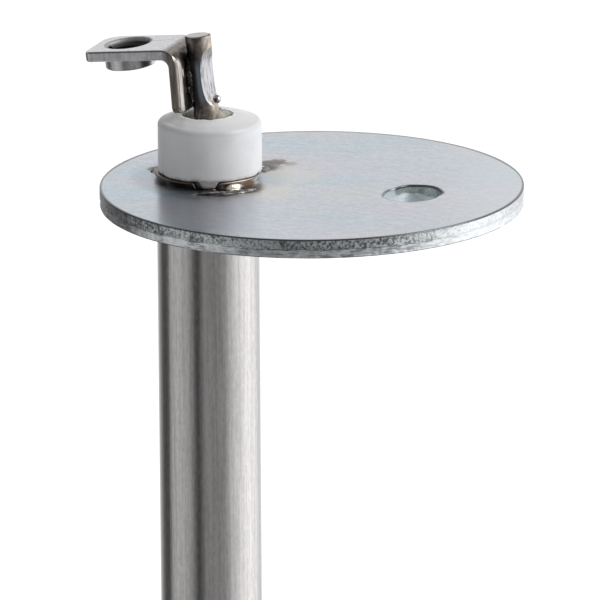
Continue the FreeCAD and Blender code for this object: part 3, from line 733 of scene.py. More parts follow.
def arc(centre, radius, start, end, steps):
    """Points on an arc of a profile, as (radius, height), angles in degrees."""
    angles = [math.radians(start + (end - start) * i / steps) for i in range(steps + 1)]
    return [(centre[0] + radius * math.cos(a), centre[1] + radius * math.sin(a)) for a in angles]


def soft(value, low, high):
    """0 below low and 1 above high, smooth between. High may be the smaller."""
    t = min(1.0, max(0.0, (value - low) / (high - low)))
    return t * t * (3 - 2 * t)


def bead(bm, centre, half_sweep, radius, half_width, height, ripple, seed):
    """A low rounded ridge of metal on the flange round the sleeve, left with its faces pointing inwards."""
    made = bmesh.ops.create_uvsphere(bm, u_segments=32, v_segments=64, radius=1.0)
    for vertex in made["verts"]:
        along, across, up = vertex.co.z, vertex.co.x, vertex.co.y
        angle = centre + along * half_sweep
        reach = radius + across * half_width
        lift = up * height
        spot = Vector((math.cos(angle) * reach, math.sin(angle) * reach, FLANGE_TOP + lift))
        wave = ripple * math.sin(along * 34 + across * 1.6) * (1 - along * along)
        rough = 0.10 * roughness_at(spot, 2200, seed) + 0.14 * roughness_at(spot, 900, seed)
        spot.z += height * max(up, 0) * (wave + rough)
        reach_change = half_width * 0.16 * roughness_at(spot, 700, seed + 3)
        spot += Vector((math.cos(angle), math.sin(angle), 0)) * reach_change
        vertex.co = spot


def new_object(bm, name):
    """Puts a bmesh in the scene as an object."""
    mesh = bpy.data.meshes.new(name)
    bm.to_mesh(mesh)
    bm.free()
    thing = bpy.data.objects.new(name, mesh)
    bpy.context.scene.collection.objects.link(thing)
    return thing


def make_piece(bm, name, material, slot, *nodes, sharp=35.0, weighted=True, recalculate=True):
    """Turns a bmesh into a finished piece that rides on the root body and stands for the named nodes."""
    if recalculate:
        bmesh.ops.recalc_face_normals(bm, faces=bm.faces)
    piece = new_object(bm, name)
    mesh = piece.data
    mesh.polygons.foreach_set("use_smooth", [True] * len(mesh.polygons))
    mesh.set_sharp_from_angle(angle=math.radians(sharp))
    mesh.materials.append(material)
    if weighted:
        modifier = piece.modifiers.new("Flat faces stay flat", "WEIGHTED_NORMAL")
        modifier.keep_sharp = True
    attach(piece, "root")
    if nodes:
        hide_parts(*nodes)


def paint_node(name, material):
    """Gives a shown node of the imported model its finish."""
    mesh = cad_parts[name].data
    mesh.materials.clear()
    mesh.materials.append(material)


def combine(target, other, operation):
    """Applies a boolean between two scratch objects and removes the second."""
    modifier = target.modifiers.new(operation, "BOOLEAN")
    modifier.operation = operation
    modifier.object = other
    modifier.solver = "EXACT"
    graph = bpy.context.evaluated_depsgraph_get()
    joined = bpy.data.meshes.new_from_object(target.evaluated_get(graph))
    target.modifiers.clear()
    target.data = joined
    bpy.data.objects.remove(other)


def scratch(bm, name):
    """An object for combine() made from a bmesh."""
    bmesh.ops.recalc_face_normals(bm, faces=bm.faces)
    return new_object(bm, name)


# --- Pieces ---


def make_flange(size):
    """Blanked plate: a rolled upper edge, a burnished band, and a torn band with a wavy border below it."""
    bm = bmesh.new()
    torn_mark = bm.verts.layers.float.new("torn")
    sheared_mark = bm.verts.layers.float.new("sheared")
    thick = FLANGE_TOP
    roll = size.edge_roll
    border = thick * 0.44

    def tear(spot, height):
        """1 below the wavy border of the torn band and 0 above it."""
        line = border + 0.20 * MM * roughness_at(spot, 300, 5.0) + 0.12 * MM * roughness_at(spot, 1100, 9.0)
        return soft(height, line + 0.08 * MM, line - 0.08 * MM)

    def cut_wall(inward, shape):
        """The unevenness of a punched wall. Inward is 1 for the outside and -1 for a hole."""

        def wobble(angle, radius, height):
            spot = Vector((math.cos(angle), math.sin(angle), 0)) * radius
            torn = tear(spot, height)
            on_wall = soft(height, thick - 0.06 * MM, thick - 0.3 * MM) * soft(height, 0, 0.15 * MM)
            spot.z = height
            rough = 0.030 * MM * roughness_at(spot, 3000, 1.0) + 0.028 * MM * roughness_at(spot, 1400, 2.0)
            step = -0.075 * MM + 1.3 * rough
            burnish = 0.35 * rough
            change = min(0.0, torn * step + (1 - torn) * burnish)
            return inward * change * on_wall + shape(angle), 0.0

        return wobble

    def hole_shape(angle):
        turn = angle - VIEW_BEARING
        oval = 0.27 * MM * math.cos(2 * (turn - math.radians(67)))
        off_dent = half_turn(turn - math.radians(134))
        dent = 0.36 * MM * math.exp(-((off_dent / math.radians(34)) ** 2))
        corners = 0.06 * MM * math.cos(7 * turn)
        corners += 0.05 * MM * roughness_at((math.cos(angle), math.sin(angle), 0), 5.0)
        return oval - dent + corners

    def rings(radius, centre, inward, shape, count):
        wall = cut_wall(inward, shape)
        upper = arc((radius - inward * roll, thick - roll), roll, 90, 0, 4)
        if inward < 0:
            upper = [(2 * (radius + roll) - r, z) for r, z in upper]
        steps = 16
        drop = thick - roll - 0.08 * MM
        straight = [(radius, thick - roll - drop * i / steps) for i in range(1, steps + 1)]
        lower = [(radius - inward * 0.08 * MM, 0.0)]
        guard_top = [(radius - inward * (roll + 0.3 * MM), thick)]
        guard_low = [(radius - inward * 0.4 * MM, 0.0)]
        profile = guard_top + upper + straight + lower + guard_low
        places = [round_place(r, z, centre, wall) for r, z in profile]
        return tube(bm, count, places)

    screw = Vector((SCREW.x - 0.18 * MM, SCREW.y + 0.05 * MM, 0))
    outside = rings(FLANGE_RADIUS, FLANGE_CENTRE, 1, lambda angle: 0.0, 900)
    hole = rings(size.screw_hole / 2, screw, -1, hole_shape, 180)
    seat = tube(bm, 180, [round_place(SLEEVE_RADIUS + 0.02 * MM, z) for z in (thick, 0.0)])
    cap(bm, outside[0], hole[0], seat[0])
    cap(bm, outside[-1], hole[-1], seat[-1])
    for vertex in bm.verts:
        spot = vertex.co - FLANGE_CENTRE
        spot.z = 0
        vertex[torn_mark] = tear(spot.normalized() * FLANGE_RADIUS, vertex.co.z)
        vertex[sheared_mark] = 0.0
    for ring in outside[1:6] + hole[1:6]:
        for vertex in ring:
            vertex[sheared_mark] = 1.0
    make_piece(bm, "flange", zinc_finish(size.zinc_colour), "zinc_plated_steel", "flange_plate")


def make_sleeve(size):
    """Tube with a belled, notched and slightly uneven rim, and a turned-in lower end."""
    bm = bmesh.new()
    outside = SLEEVE_RADIUS
    inside = SLEEVE_RADIUS - SLEEVE_WALL
    low = SLEEVE_LOW.z
    flare = 0.3 * MM
    lip = 0.5 * MM
    half_notch = 1.25 * MM / outside

    def wobble(angle, radius, height):
        above = soft(height, FLANGE_TOP, RIM_TOP)
        if above <= 0:
            return 0.0, 0.0
        spot = (math.cos(angle) * outside, math.sin(angle) * outside, height)
        gap = abs(half_turn(angle - KEY_ANGLE))
        notch = soft(gap, half_notch * 1.25, half_notch * 0.85)
        drop = notch * (height - FLANGE_TOP - 0.1 * MM) if height > FLANGE_TOP + 0.1 * MM else 0.0
        uneven = 0.05 * MM * roughness_at(spot, 500, 4.0) + 0.03 * MM * roughness_at(spot, 1500, 6.0)
        return uneven * above, -drop - 0.04 * MM * above * (1 + roughness_at(spot, 600, 8.0))

    edge = 0.15 * MM
    profile = arc((outside - 0.6 * MM, low + 0.6 * MM), 0.6 * MM, -90, 0, 8)
    profile += [(outside, -0.3 * MM), (outside, 0.0), (outside, FLANGE_TOP)]
    for share in (0.2, 0.4, 0.6, 0.8):
        profile.append((outside + flare * share ** 1.5, FLANGE_TOP + share * (RIM_TOP - FLANGE_TOP)))
    profile += arc((outside + flare - edge, RIM_TOP - edge), edge, 0, 90, 4)
    profile += arc((inside + flare + edge, RIM_TOP - edge), edge, 90, 180, 4)
    profile += [(inside + flare * 0.4, FLANGE_TOP + 0.4 * MM), (inside, FLANGE_TOP - 0.2 * MM)]
    profile += [(inside, low + SLEEVE_WALL), (inside - lip, low + SLEEVE_WALL), (inside - lip, low)]
    turned(bm, 240, profile, wobble=wobble)
    make_piece(bm, "sleeve", sleeve_finish(size.sleeve_colour), "stainless_sleeve", "sleeve_tube")


def make_tacks():
    """The three tack welds, each a few runs of fused metal in the corner between sleeve and flange."""
    front = weld_finish("front_weld_metal", 8.05 * MM)
    metal = weld_finish("tack_weld_metal", 0)

    # Each run: degrees round the sleeve and half its sweep, then radius, half width, height and ripple.
    runs = {
        "front_tack": (
            (-57, 29, 8.05, 0.55, 0.34, 0.10),
            (-60, 23, 6.95, 1.15, 0.16, 0.00),
            (-44, 12, 6.45, 0.42, 0.66, 0.05),
            (-69, 5, 6.45, 0.30, 0.34, 0.05),
        ),
        "right_tack": ((50, 17, 7.1, 1.0, 0.34, 0.08), (47, 13, 6.4, 0.5, 0.62, 0.05)),
        "left_tack": ((164, 14, 6.75, 0.85, 0.38, 0.08), (166, 10, 6.35, 0.42, 0.66, 0.05)),
    }
    for name, parts in runs.items():
        bm = bmesh.new()
        for seed, (angle, sweep, radius, width, height, ripple) in enumerate(parts):
            sizes = (radius * MM, width * MM, height * MM)
            bead(bm, math.radians(angle), math.radians(sweep), *sizes, ripple, seed + len(name) / 2)

        # Laying a bead mirrors its sphere, so every face is turned back outwards. Recalculating can't be
        # trusted with these thin curved runs: it turns one of them inside out.
        bmesh.ops.reverse_faces(bm, faces=bm.faces)
        finish = front if name == "front_tack" else metal
        node = name + "_weld"
        make_piece(bm, name, finish, "weld_metal", node, sharp=70, weighted=False, recalculate=False)


def make_head(size):
    """Glazed head: a crowned top, a worn lower edge, a chipped recess and the lug in the sleeve's notch."""
    bm = bmesh.new()
    spigot = 4.65 * MM
    recess = 2.9 * MM
    passage = 1.9 * MM
    lip = 0.62 * MM
    foot = 0.22 * MM
    crown = size.head_crown
    half_lug = 0.95 * MM / HEAD_RADIUS

    def wobble(angle, radius, height):
        spot = (math.cos(angle) * radius, math.sin(angle) * radius, height)
        outward = 0.0
        upward = 0.0
        if radius > spigot + 0.2 * MM:
            outward = 0.022 * MM * roughness_at(spot, 260, 1.0) + 0.010 * MM * roughness_at(spot, 700, 1.0)
            near_foot = soft(height, RIM_TOP + 0.5 * MM, RIM_TOP)
            chip = max(0.0, roughness_at(spot, 900, 12.0) - 0.25)
            outward -= 0.45 * MM * chip * near_foot
            gap = abs(half_turn(angle - KEY_ANGLE))
            lug = soft(gap, half_lug * 1.35, half_lug * 0.65)
            upward -= lug * near_foot * 0.75 * MM
            upward += 0.03 * MM * roughness_at(spot, 500, 3.0) * near_foot
        if height > HEAD_TOP - 0.6 * MM:
            ring = (spot[0], spot[1], 0)
            near_recess = soft(radius, recess + 0.8 * MM, recess)
            chips = 0.14 * roughness_at(ring, 520, 7.0) + 0.10 * roughness_at(ring, 1500, 8.0)
            chips += 0.16 * roughness_at(ring, 3000, 9.0)
            outward += chips * MM * near_recess
            upward += (0.04 * MM * roughness_at(ring, 300, 2.0)) * (1 - near_recess)
            upward += (0.07 * MM * roughness_at(ring, 1200, 4.0) - 0.05 * MM) * near_recess
        return outward, upward

    profile = arc((HEAD_RADIUS - foot, RIM_TOP + foot), foot, -90, 0, 5)
    shoulder = HEAD_TOP - 0.12 * MM
    rise = shoulder - lip - RIM_TOP - foot
    profile += [(HEAD_RADIUS, RIM_TOP + foot + rise * i / 14) for i in range(1, 14)]
    profile += arc((HEAD_RADIUS - lip, shoulder - lip), lip, 0, 80, 8)
    flat_from = HEAD_RADIUS - lip
    for step in range(1, 15):
        share = step / 14
        radius = flat_from + (recess + 0.12 * MM - flat_from) * share
        profile.append((radius, shoulder + (crown + 0.12 * MM) * math.sin(share * math.pi / 2)))
    top = HEAD_TOP + crown
    profile += arc((recess + 0.12 * MM, top - 0.12 * MM), 0.12 * MM, 80, 180, 4)
    profile += [(recess, top - 0.5 * MM), (recess, HEAD_TOP - 0.7 * MM), (recess, HEAD_TOP - RECESS_DEPTH)]
    low = HEAD_LOW.z
    profile += [(passage, HEAD_TOP - RECESS_DEPTH), (passage, low), (spigot, low), (spigot, RIM_TOP)]

    # The recess stays on the rod's axis, while the outside follows the head's own centre.
    turned(bm, 288, profile, HEAD_CENTRE, wobble)
    for vertex in bm.verts:
        from_axis = (vertex.co - HEAD_CENTRE).xy.length
        vertex.co.x -= HEAD_CENTRE.x * soft(from_axis, HEAD_RADIUS - 0.5 * MM, recess + 0.4 * MM)
    material = glaze_finish(size.glaze_colour)
    make_piece(bm, "glazed_head", material, "glazed_ceramic", "head_insulator", sharp=50)


def make_rod(size):
    """Rod: a pointed tip, an upset collar, a straight run, and a leaning end with a pressed hollow."""
    bm = bmesh.new()
    count = 96
    radius = ROD_RADIUS
    bend = HEAD_TOP - 0.6 * MM
    press_way = Vector((math.cos(PRESS_WAY), math.sin(PRESS_WAY), 0))
    top = 9.9 * MM
    tab_face = 1.3 * MM

    def leaning(reach, up):
        def place(angle):
            spot = Vector((reach * math.cos(angle), reach * math.sin(angle), up))
            if up > 0:
                depth = spot.dot(press_way)
                limit = press_limit(up)
                streak = (spot.x, spot.y, up * 0.12)
                rough = 0.020 * MM * roughness_at(spot, 700, 2.0)
                limit += rough + 0.018 * MM * roughness_at(streak, 2600, 6.0)
                if depth > limit:
                    spot -= press_way * (depth - limit)
                spot.x = min(spot.x, tab_face)
            swell = soft(up, top - 1.0 * MM, top)
            spot.y *= 1 - 0.10 * swell
            spot.x *= 1 + 0.03 * swell
            spot += Vector((spot.x, spot.y, 0)) * 0.02 * roughness_at(spot, 600, 5.0)
            return TERMINAL @ spot

        return place

    tip = ROD_TIP
    collar_top = NOSE_END + 2.6 * MM
    places = [round_place(0.22 * MM, tip), round_place(0.42 * MM, tip + 0.06 * MM)]
    places += [round_place(0.52 * MM, tip + 0.2 * MM)]
    for i in range(6):
        places.append(round_place(0.55 * MM + 0.95 * MM * i / 5, tip + 0.3 * MM + 1.9 * MM * i / 5))
    places += [round_place(radius, tip + 2.6 * MM), round_place(radius, collar_top - 1.1 * MM)]
    places += [round_place(2.2 * MM, collar_top - 1.0 * MM), round_place(2.3 * MM, collar_top - 0.9 * MM)]
    places += [round_place(2.3 * MM, collar_top - 0.1 * MM), round_place(radius, collar_top)]
    places += [round_place(radius, bend - 4.0 * MM), round_place(radius, bend - 0.5 * MM)]
    steps = 96
    lean_length = top - 0.12 * MM + 0.3 * MM
    places += [leaning(radius, -0.3 * MM + lean_length * i / steps) for i in range(steps + 1)]
    places += [leaning(radius - 0.03 * MM, top - 0.04 * MM), leaning(radius - 0.12 * MM, top)]
    places += [leaning(radius * 0.6, top - 0.02 * MM), leaning(radius * 0.25, top - 0.03 * MM)]
    shell = tube(bm, count, places)
    cap(bm, shell[0])
    cap(bm, shell[-1])
    material = rod_finish(size.rod_colour)
    make_piece(bm, "rod", material, "electrode_alloy", "electrode_rod", sharp=40, weighted=False)


def settle(bm):
    """Gives the strip the small errors of its bending, then puts it in its place.

    The arm rises a little towards its back edge, and the leg stands off a little at its foot.
    """
    front, bend = 3.7 * MM, 7.7 * MM
    for vertex in bm.verts:
        spot = vertex.co
        on_arm = soft(spot.x, 1.3 * MM, 4.0 * MM)
        spot.z += (front - spot.y) * math.tan(ARM_RISE) * on_arm
        if spot.z < bend and spot.x < 3.9 * MM:
            spot.x += (bend - spot.z) * math.tan(LEG_SPLAY)
    bmesh.ops.transform(bm, matrix=TERMINAL, verts=bm.verts)


def make_terminal(size):
    """Bent strip with rounded edges, a funnelled and tapped hole and the drawn collar under it."""
    face, thick, reach = 1.3 * MM, 1.25 * MM, 13.2 * MM
    top, bottom, half = 8.95 * MM, 1.25 * MM, 3.7 * MM
    under = top - thick
    hole = Vector((TAPPED_X, TAPPED_Y, 0))
    thread = 2.5 * MM
    collar, collar_end = 2.95 * MM, top - 2.65 * MM

    def edges_where(test):
        return [e for e in bm.edges if all(test(v.co) for v in e.verts)]

    def near(value, level):
        return abs(value - level) < 0.001 * MM

    def bevel(edges, offset, segments):
        bmesh.ops.bevel(
            bm,
            geom=edges,
            offset=offset,
            segments=segments,
            affect="EDGES",
            profile=0.5,
            material=-1,
            clamp_overlap=True,
        )

    bm = bmesh.new()
    outline = [(face, bottom), (face + thick, bottom), (face + thick, under)]
    outline += [(reach, under), (reach, top), (face, top)]
    profile = bm.faces.new([bm.verts.new((x, -half, z)) for x, z in outline])
    pushed = bmesh.ops.extrude_face_region(bm, geom=[profile])
    far_side = [v for v in pushed["geom"] if isinstance(v, bmesh.types.BMVert)]
    bmesh.ops.translate(bm, vec=(0, 2 * half, 0), verts=far_side)
    bevel(edges_where(lambda p: near(p.x, face + thick) and near(p.z, under)), 1.0 * MM, 10)
    bevel(edges_where(lambda p: near(p.x, face) and near(p.z, top)), 2.25 * MM, 16)
    for side, corner in ((-half, 2.1 * MM), (half, 0.9 * MM)):
        bevel(edges_where(lambda p: near(p.x, reach) and near(p.y, side)), corner, 12)
        bevel(edges_where(lambda p: near(p.z, bottom) and near(p.y, side)), 0.9 * MM, 8)
    bmesh.ops.recalc_face_normals(bm, faces=bm.faces)
    rim = [e for e in bm.edges if e.is_manifold and e.calc_face_angle() > math.radians(50)]
    bevel(rim, 0.25 * MM, 5)
    strip = scratch(bm, "terminal_strip")

    bm = bmesh.new()
    root = 0.3 * MM
    outside = [(collar + root * 1.2, under + 0.3 * MM)]
    outside += [(collar + root, under)] + arc((collar + root, under - root), root, 90, 180, 5)
    outside += arc((collar - 0.2 * MM, collar_end + 0.2 * MM), 0.2 * MM, 0, -90, 4)
    outside += [(thread * 0.5, collar_end), (thread * 0.5, under + 0.3 * MM)]
    turned(bm, 128, outside, hole)
    combine(strip, scratch(bm, "collar"), "UNION")

    bm = bmesh.new()
    mouth = size.hole_mouth
    cutter = [(thread + mouth + 0.001 * MM, top + 1 * MM)]
    for step in range(7):
        angle = math.radians(90 - 15 * step)
        cutter.append((thread + mouth - mouth * math.cos(angle), top - mouth + mouth * math.sin(angle)))
    cutter += [(thread, collar_end + 0.25 * MM), (thread + 0.3 * MM, collar_end - 0.05 * MM)]
    cutter += [(thread + 0.3 * MM, collar_end - 1 * MM)]
    places = [round_place(r, z, hole) for r, z in cutter]
    plug = tube(bm, 128, places)
    cap(bm, plug[0])
    cap(bm, plug[-1])
    combine(strip, scratch(bm, "cutter"), "DIFFERENCE")

    bm = bmesh.new()
    bm.from_mesh(strip.data)
    bpy.data.objects.remove(strip)
    bmesh.ops.remove_doubles(bm, verts=bm.verts, dist=0.0005 * MM)
    settle(bm)
    steel = tab_finish(size.tab_colour)
    make_piece(bm, "terminal", steel, "terminal_steel", "terminal_tab", sharp=32)
    make_thread(hole, thread, collar_end, top - 0.35 * MM, steel)


def make_thread(centre, radius, low, high, steel):
    """The tapped hole's ridges: a V swept up a helix of M5 pitch, just inside the bore's wall."""
    pitch, height = 0.8 * MM, 0.42 * MM
    turns = (high - low) / pitch - 0.9
    bm = bmesh.new()
    base = low + 0.05 * MM
    corners = [(radius + 0.03 * MM, base), (radius + 0.03 * MM, base + 0.74 * MM)]
    corners += [(radius - height, base + 0.44 * MM), (radius - height, base + 0.30 * MM)]
    ridge = bm.faces.new([bm.verts.new((centre.x + r, 0, z)) for r, z in corners])
    steps = int(64 * turns)
    bmesh.ops.spin(
        bm,
        geom=[ridge] + list(ridge.edges) + list(ridge.verts),
        cent=centre,
        axis=(0, 0, 1),
        dvec=(0, 0, turns * pitch / steps),
        angle=turns * TURN,
        steps=steps,
        use_merge=False,
    )
    bmesh.ops.holes_fill(bm, edges=[e for e in bm.edges if e.is_boundary], sides=4)
    settle(bm)
    make_piece(bm, "terminal_thread", steel, "terminal_steel", sharp=40)


def make_seams():
    """Fused metal in the corners between rod and strip, and the bright bead expelled at the hollow's foot."""
    bm = bmesh.new()
    for side, low, high, width in ((-1, 2.0, 7.5, 0.42), (1, 1.9, 7.4, 0.50)):
        made = bmesh.ops.create_uvsphere(bm, u_segments=24, v_segments=96, radius=1.0)
        for vertex in made["verts"]:
            up = (low + high) / 2 + vertex.co.z * (high - low) / 2
            level = (side, 0, up)
            lump = 1 + 0.35 * roughness_at(level, 1.3, 3.0) + 0.3 * roughness_at(level, 4.0, 5.0)
            out = Vector((vertex.co.x, vertex.co.y, 0)) * width * lump
            out *= 1 + 0.25 * roughness_at((out.x, out.y, up), 3.5, 6.0)
            spot = Vector((1.12 + out.x, side * 1.0 + out.y, up)) * MM
            spot.x = min(spot.x, 1.36 * MM)
            vertex.co = TERMINAL @ spot
    # The seam metal is darkened nearly black: weld soot and painted shade of the valley.
    seam = weld_finish("seam_weld_metal", 0, 0.65)
    make_piece(bm, "terminal_seams", seam, "weld_metal", "terminal_weld", sharp=70, weighted=False)

    bm = bmesh.new()
    made = bmesh.ops.create_uvsphere(bm, u_segments=32, v_segments=20, radius=0.49 * MM)
    way = math.radians(180 + 18)
    centre = Vector((1.42 * MM * math.cos(way), 1.42 * MM * math.sin(way), 2.05 * MM))
    for vertex in made["verts"]:
        spot = vertex.co * (1 + 0.18 * roughness_at(vertex.co, 1800, 3.0))
        vertex.co = TERMINAL @ (centre + Vector((spot.x, spot.y, spot.z * 0.92)))
    make_piece(bm, "expelled_bead", bead_finish(), "weld_metal", "weld_bead", sharp=70, weighted=False)


def make_cements():
    """The lumpy cement round the rod at the head and over its collar at the nose."""
    material = cement_finish()

    def plug(name, node, outer, inner, low, high, upside, seed, lean):
        bm = bmesh.new()

        def wobble(angle, radius, height):
            if abs(height - high) > 0.01 * MM:
                return 0.0, 0.0
            spot = (math.cos(angle) * radius, math.sin(angle) * radius, 0)
            swell = 0.34 * soft(radius, inner + 0.9 * MM, inner) + 0.12 * roughness_at(spot, 900, seed)
            swell += 0.10 * roughness_at(spot, 2200, seed) + lean * math.cos(angle - math.radians(85))
            return 0.0, upside * swell * MM

        face = [(inner + (outer - inner) * i / 10, high) for i in range(11)]
        turned(bm, 144, face + [(outer, low), (inner, low)], wobble=wobble)
        make_piece(bm, name, material, "cement", node, sharp=60, weighted=False)

    floor = HEAD_TOP - RECESS_DEPTH
    top = HEAD_TOP + 0.02 * MM
    plug("rod_cement", "rod_seal_cement", 3.0 * MM, 1.3 * MM, floor, top, 1, 4.0, 0.42)
    depth = NOSE_END + 2.5 * MM
    nose_face = NOSE_END + 0.45 * MM
    plug("nose_cement", "nose_seal_cement", 2.58 * MM, 1.45 * MM, depth, nose_face, -1, 9.0, 0.0)


def make_inner():
    """Finishes of the core insulator and of the cement bed behind it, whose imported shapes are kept."""
    paint_node("core_insulator", alumina_finish())
    paint_node("head_bed_cement", cement_finish())


# --- Stage ---

VIEW_RISE = math.radians(15.75)
VIEW_ROLL = math.radians(0.35)
VIEW_DISTANCE = 936 * MM

# Brightness round the studio at and below the horizon: degrees from the camera's right, and level.
STUDIO_BANDS = (
    (-270, 1.20),
    (-238, 0.42),
    (-216, 0.09),
    (-197, 0.08),
    (-184, 0.58),
    (-158, 0.59),
    (-137, 0.44),
    (-126, 0.22),
    (-119, 0.04),
    (-111, 0.10),
    (-100, 0.32),
    (-72, 0.28),
    (-53, 0.36),
    (-43, 0.70),
    (-22, 1.02),
    (8, 1.48),
    (33, 1.34),
    (60, 0.80),
    (90, 1.20),
)


def make_world(size):
    """Soft studio: banded below the horizon, where the sleeve looks, with a dome brighter on the right."""
    world = bpy.data.worlds.new("soft_studio")
    world.use_nodes = True
    bpy.context.scene.world = world
    nodes = Nodes(world.node_tree)
    way = nodes.add("ShaderNodeTexCoord", output="Generated")
    x, y, z = nodes.split(way)
    angle = nodes.maths("ARCTAN2", y, x) / TURN - VIEW_BEARING / TURN
    share = nodes.maths("FRACT", angle + 0.75)
    stops = [((degrees + 270) / 360, (level,) * 3) for degrees, level in STUDIO_BANDS]
    bands = nodes.colours(share, *stops)
    toward_right = rightward(x, y)
    toward_back = backward(x, y)
    bright = nodes.ramp(0.75 * toward_back + 0.65 * toward_right - 0.15 * z, -0.20, 0.60)
    low_ring = nodes.ramp(z, 0.75, 0.15) * (1.0 - bright)
    dome = size.dome_level * (0.16 + 0.84 * bright + 0.34 * low_ring)
    sky = nodes.add("ShaderNodeCombineColor", sockets={0: dome, 1: dome, 2: dome})
    light = nodes.blend(nodes.ramp(z, 0.02, 0.22), bands, sky)
    background = world.node_tree.nodes["Background"]
    nodes.feed(background.inputs["Color"], light)
    background.inputs["Strength"].default_value = 1.0


def make_lights(size):
    """One large soft box high on the right and a weaker one on the left."""
    right = Vector((math.cos(VIEW_BEARING), math.sin(VIEW_BEARING), 0))
    back = Vector((-math.sin(VIEW_BEARING), math.cos(VIEW_BEARING), 0))
    for name, spot, power, width in (
        ("key", 0.55 * right - 0.12 * back + Vector((0, 0, 0.42)), size.key_power, 0.5),
        ("fill", -0.5 * right - 0.5 * back + Vector((0, 0, 0.5)), size.key_power * 0.11, 0.5),
    ):
        lamp = bpy.data.lights.new(name, "AREA")
        lamp.energy = power
        lamp.size = width
        lamp_object = bpy.data.objects.new(name, lamp)
        lamp_object.visible_glossy = name == "key"
        lamp_object.location = spot
        lamp_object.rotation_euler = (-spot).to_track_quat("-Z", "Y").to_euler()
        bpy.context.scene.collection.objects.link(lamp_object)


def make_floor(size):
    """A wide pale floor under the electrode's tip. Metal doesn't mirror it, so the studio's bands show."""
    bm = bmesh.new()
    bmesh.ops.create_grid(bm, x_segments=8, y_segments=8, size=3.0)
    bmesh.ops.translate(bm, vec=(0, 0, cad_low.z), verts=bm.verts)
    floor = new_object(bm, "floor")
    floor.data.materials.append(floor_finish(size.floor_colour))
    floor.visible_glossy = False
    floor.visible_diffuse = False


def make_camera():
    """Long lens, a little above the flange, rolled by a third of a degree."""
    back = Vector((math.sin(VIEW_BEARING), -math.cos(VIEW_BEARING), 0)) * math.cos(VIEW_RISE)
    back.z = math.sin(VIEW_RISE)
    right = Vector((math.cos(VIEW_BEARING), math.sin(VIEW_BEARING), 0))
    up = back.cross(right)
    right, up = (
        right * math.cos(VIEW_ROLL) - up * math.sin(VIEW_ROLL),
        up * math.cos(VIEW_ROLL) + right * math.sin(VIEW_ROLL),
    )
    target = Vector((0, 0, FLANGE_TOP)) + right * 10.8 * MM - up * 14.4 * MM
    lens = bpy.data.cameras.new("camera")
    lens.lens = LENS_LENGTH
    lens.sensor_width = 36
    lens.clip_start, lens.clip_end = 0.01, 20
    camera = bpy.data.objects.new("camera", lens)
    turn = Matrix((right, up, back)).transposed().to_4x4()
    camera.matrix_world = Matrix.Translation(target + back * VIEW_DISTANCE) @ turn
    bpy.context.scene.collection.objects.link(camera)
    bpy.context.scene.camera = camera


def make_stage(size):
    make_world(size)
    make_lights(size)
    make_floor(size)
    make_camera()
    bpy.context.scene.view_settings.view_transform = "Standard"


# --- Add-on ---


def colour_property(name, description, default):
    return FloatVectorProperty(
        name=name, description=description, default=default, subtype="COLOR", min=0, max=1
    )


class ElectrodeSettings(bpy.types.PropertyGroup):
    """Sizes, colours and light levels that a user would change."""

    edge_roll: FloatProperty(
        name="Edge roll", description="Rounding of the flange's upper edges", default=0.12 * MM, unit="LENGTH"
    )
    screw_hole: FloatProperty(
        name="Screw hole", description="Diameter of the flange's screw hole", default=7.16 * MM, unit="LENGTH"
    )
    hole_mouth: FloatProperty(
        name="Hole mouth",
        description="Funnel round the terminal's tapped hole",
        default=0.3 * MM,
        unit="LENGTH",
    )
    head_crown: FloatProperty(
        name="Head crown",
        description="How far the head's top rises to its recess",
        default=0.5 * MM,
        unit="LENGTH",
    )
    zinc_colour: colour_property("Zinc", "Colour of the flange's plating", (0.49, 0.535, 0.585))
    sleeve_colour: colour_property("Sleeve", "Colour of the stainless tube", (0.66, 0.645, 0.64))
    glaze_colour: colour_property("Glaze", "Colour of the head's glaze", (0.90, 0.90, 0.91))
    rod_colour: colour_property("Rod", "Colour of the rod's oxide", (0.28, 0.25, 0.225))
    tab_colour: colour_property("Terminal", "Colour of the plated strip", (0.72, 0.72, 0.74))
    floor_colour: colour_property("Floor", "Colour of the floor", (0.95, 0.95, 0.95))
    dome_level: FloatProperty(name="Dome", description="Brightness of the studio's upper half", default=0.95)
    key_power: FloatProperty(
        name="Key light", description="Power of the large soft box", default=3.0, unit="POWER"
    )


class ELECTRODE_OT_flange(bpy.types.Operator):
    """Make the blanked and plated flange"""

    bl_idname = "electrode.flange"
    bl_label = "Flange"

    def execute(self, context):
        make_flange(context.scene.electrode)
        return {"FINISHED"}


class ELECTRODE_OT_sleeve(bpy.types.Operator):
    """Make the steel sleeve with its belled rim"""

    bl_idname = "electrode.sleeve"
    bl_label = "Sleeve"

    def execute(self, context):
        make_sleeve(context.scene.electrode)
        return {"FINISHED"}


class ELECTRODE_OT_tacks(bpy.types.Operator):
    """Make the three tack welds"""

    bl_idname = "electrode.tacks"
    bl_label = "Tack Welds"

    def execute(self, context):
        make_tacks()
        return {"FINISHED"}


class ELECTRODE_OT_head(bpy.types.Operator):
    """Make the glazed ceramic head"""

    bl_idname = "electrode.head"
    bl_label = "Head"

    def execute(self, context):
        make_head(context.scene.electrode)
        return {"FINISHED"}


class ELECTRODE_OT_rod(bpy.types.Operator):
    """Make the electrode rod"""

    bl_idname = "electrode.rod"
    bl_label = "Rod"

    def execute(self, context):
        make_rod(context.scene.electrode)
        return {"FINISHED"}


class ELECTRODE_OT_terminal(bpy.types.Operator):
    """Make the bent terminal and its thread"""

    bl_idname = "electrode.terminal"
    bl_label = "Terminal"

    def execute(self, context):
        make_terminal(context.scene.electrode)
        return {"FINISHED"}


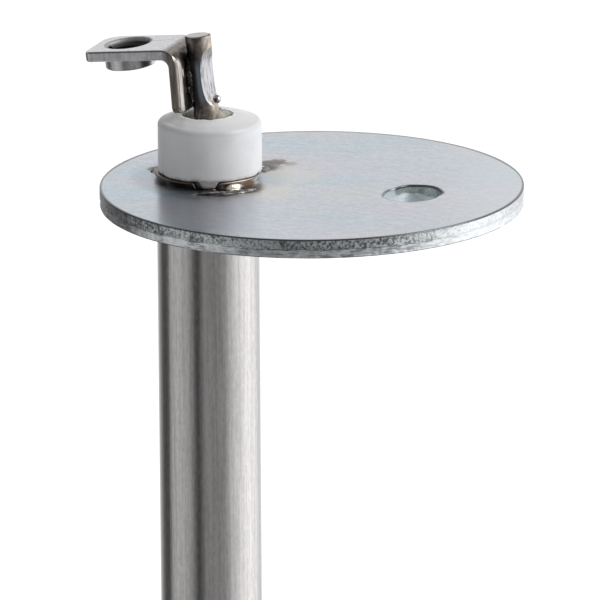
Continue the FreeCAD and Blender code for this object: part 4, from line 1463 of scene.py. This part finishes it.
class ELECTRODE_OT_seams(bpy.types.Operator):
    """Make the terminal's weld and the expelled bead"""

    bl_idname = "electrode.seams"
    bl_label = "Weld Seams"

    def execute(self, context):
        make_seams()
        return {"FINISHED"}


class ELECTRODE_OT_cements(bpy.types.Operator):
    """Make the cement at the head and at the nose"""

    bl_idname = "electrode.cements"
    bl_label = "Cements"

    def execute(self, context):
        make_cements()
        return {"FINISHED"}


class ELECTRODE_OT_inner(bpy.types.Operator):
    """Finish the core insulator and its cement bed"""

    bl_idname = "electrode.inner"
    bl_label = "Inner Pieces"

    def execute(self, context):
        make_inner()
        return {"FINISHED"}


class ELECTRODE_OT_stage(bpy.types.Operator):
    """Make the floor, the studio light and the camera"""

    bl_idname = "electrode.stage"
    bl_label = "Stage"

    def execute(self, context):
        make_stage(context.scene.electrode)
        return {"FINISHED"}


OPERATORS = (
    ELECTRODE_OT_flange,
    ELECTRODE_OT_sleeve,
    ELECTRODE_OT_tacks,
    ELECTRODE_OT_head,
    ELECTRODE_OT_rod,
    ELECTRODE_OT_terminal,
    ELECTRODE_OT_seams,
    ELECTRODE_OT_cements,
    ELECTRODE_OT_inner,
    ELECTRODE_OT_stage,
)


class ELECTRODE_PT_panel(bpy.types.Panel):
    """Lists the pieces and their sizes"""

    bl_label = "Ignition Electrode"
    bl_space_type = "VIEW_3D"
    bl_region_type = "UI"
    bl_category = "Electrode"

    def draw(self, context):
        for operator in OPERATORS:
            self.layout.operator(operator.bl_idname)
        for name in ElectrodeSettings.__annotations__:
            self.layout.prop(context.scene.electrode, name)


CLASSES = (ElectrodeSettings, *OPERATORS, ELECTRODE_PT_panel)


def register():
    for cls in CLASSES:
        bpy.utils.register_class(cls)
    bpy.types.Scene.electrode = PointerProperty(type=ElectrodeSettings)


def unregister():
    del bpy.types.Scene.electrode
    for cls in reversed(CLASSES):
        bpy.utils.unregister_class(cls)


def main():
    register()
    pieces = bpy.ops.electrode
    pieces.stage()
    pieces.flange()
    pieces.sleeve()
    pieces.tacks()
    pieces.head()
    pieces.rod()
    pieces.terminal()
    pieces.seams()
    pieces.cements()
    pieces.inner()


if __name__ == "__main__":
    main()
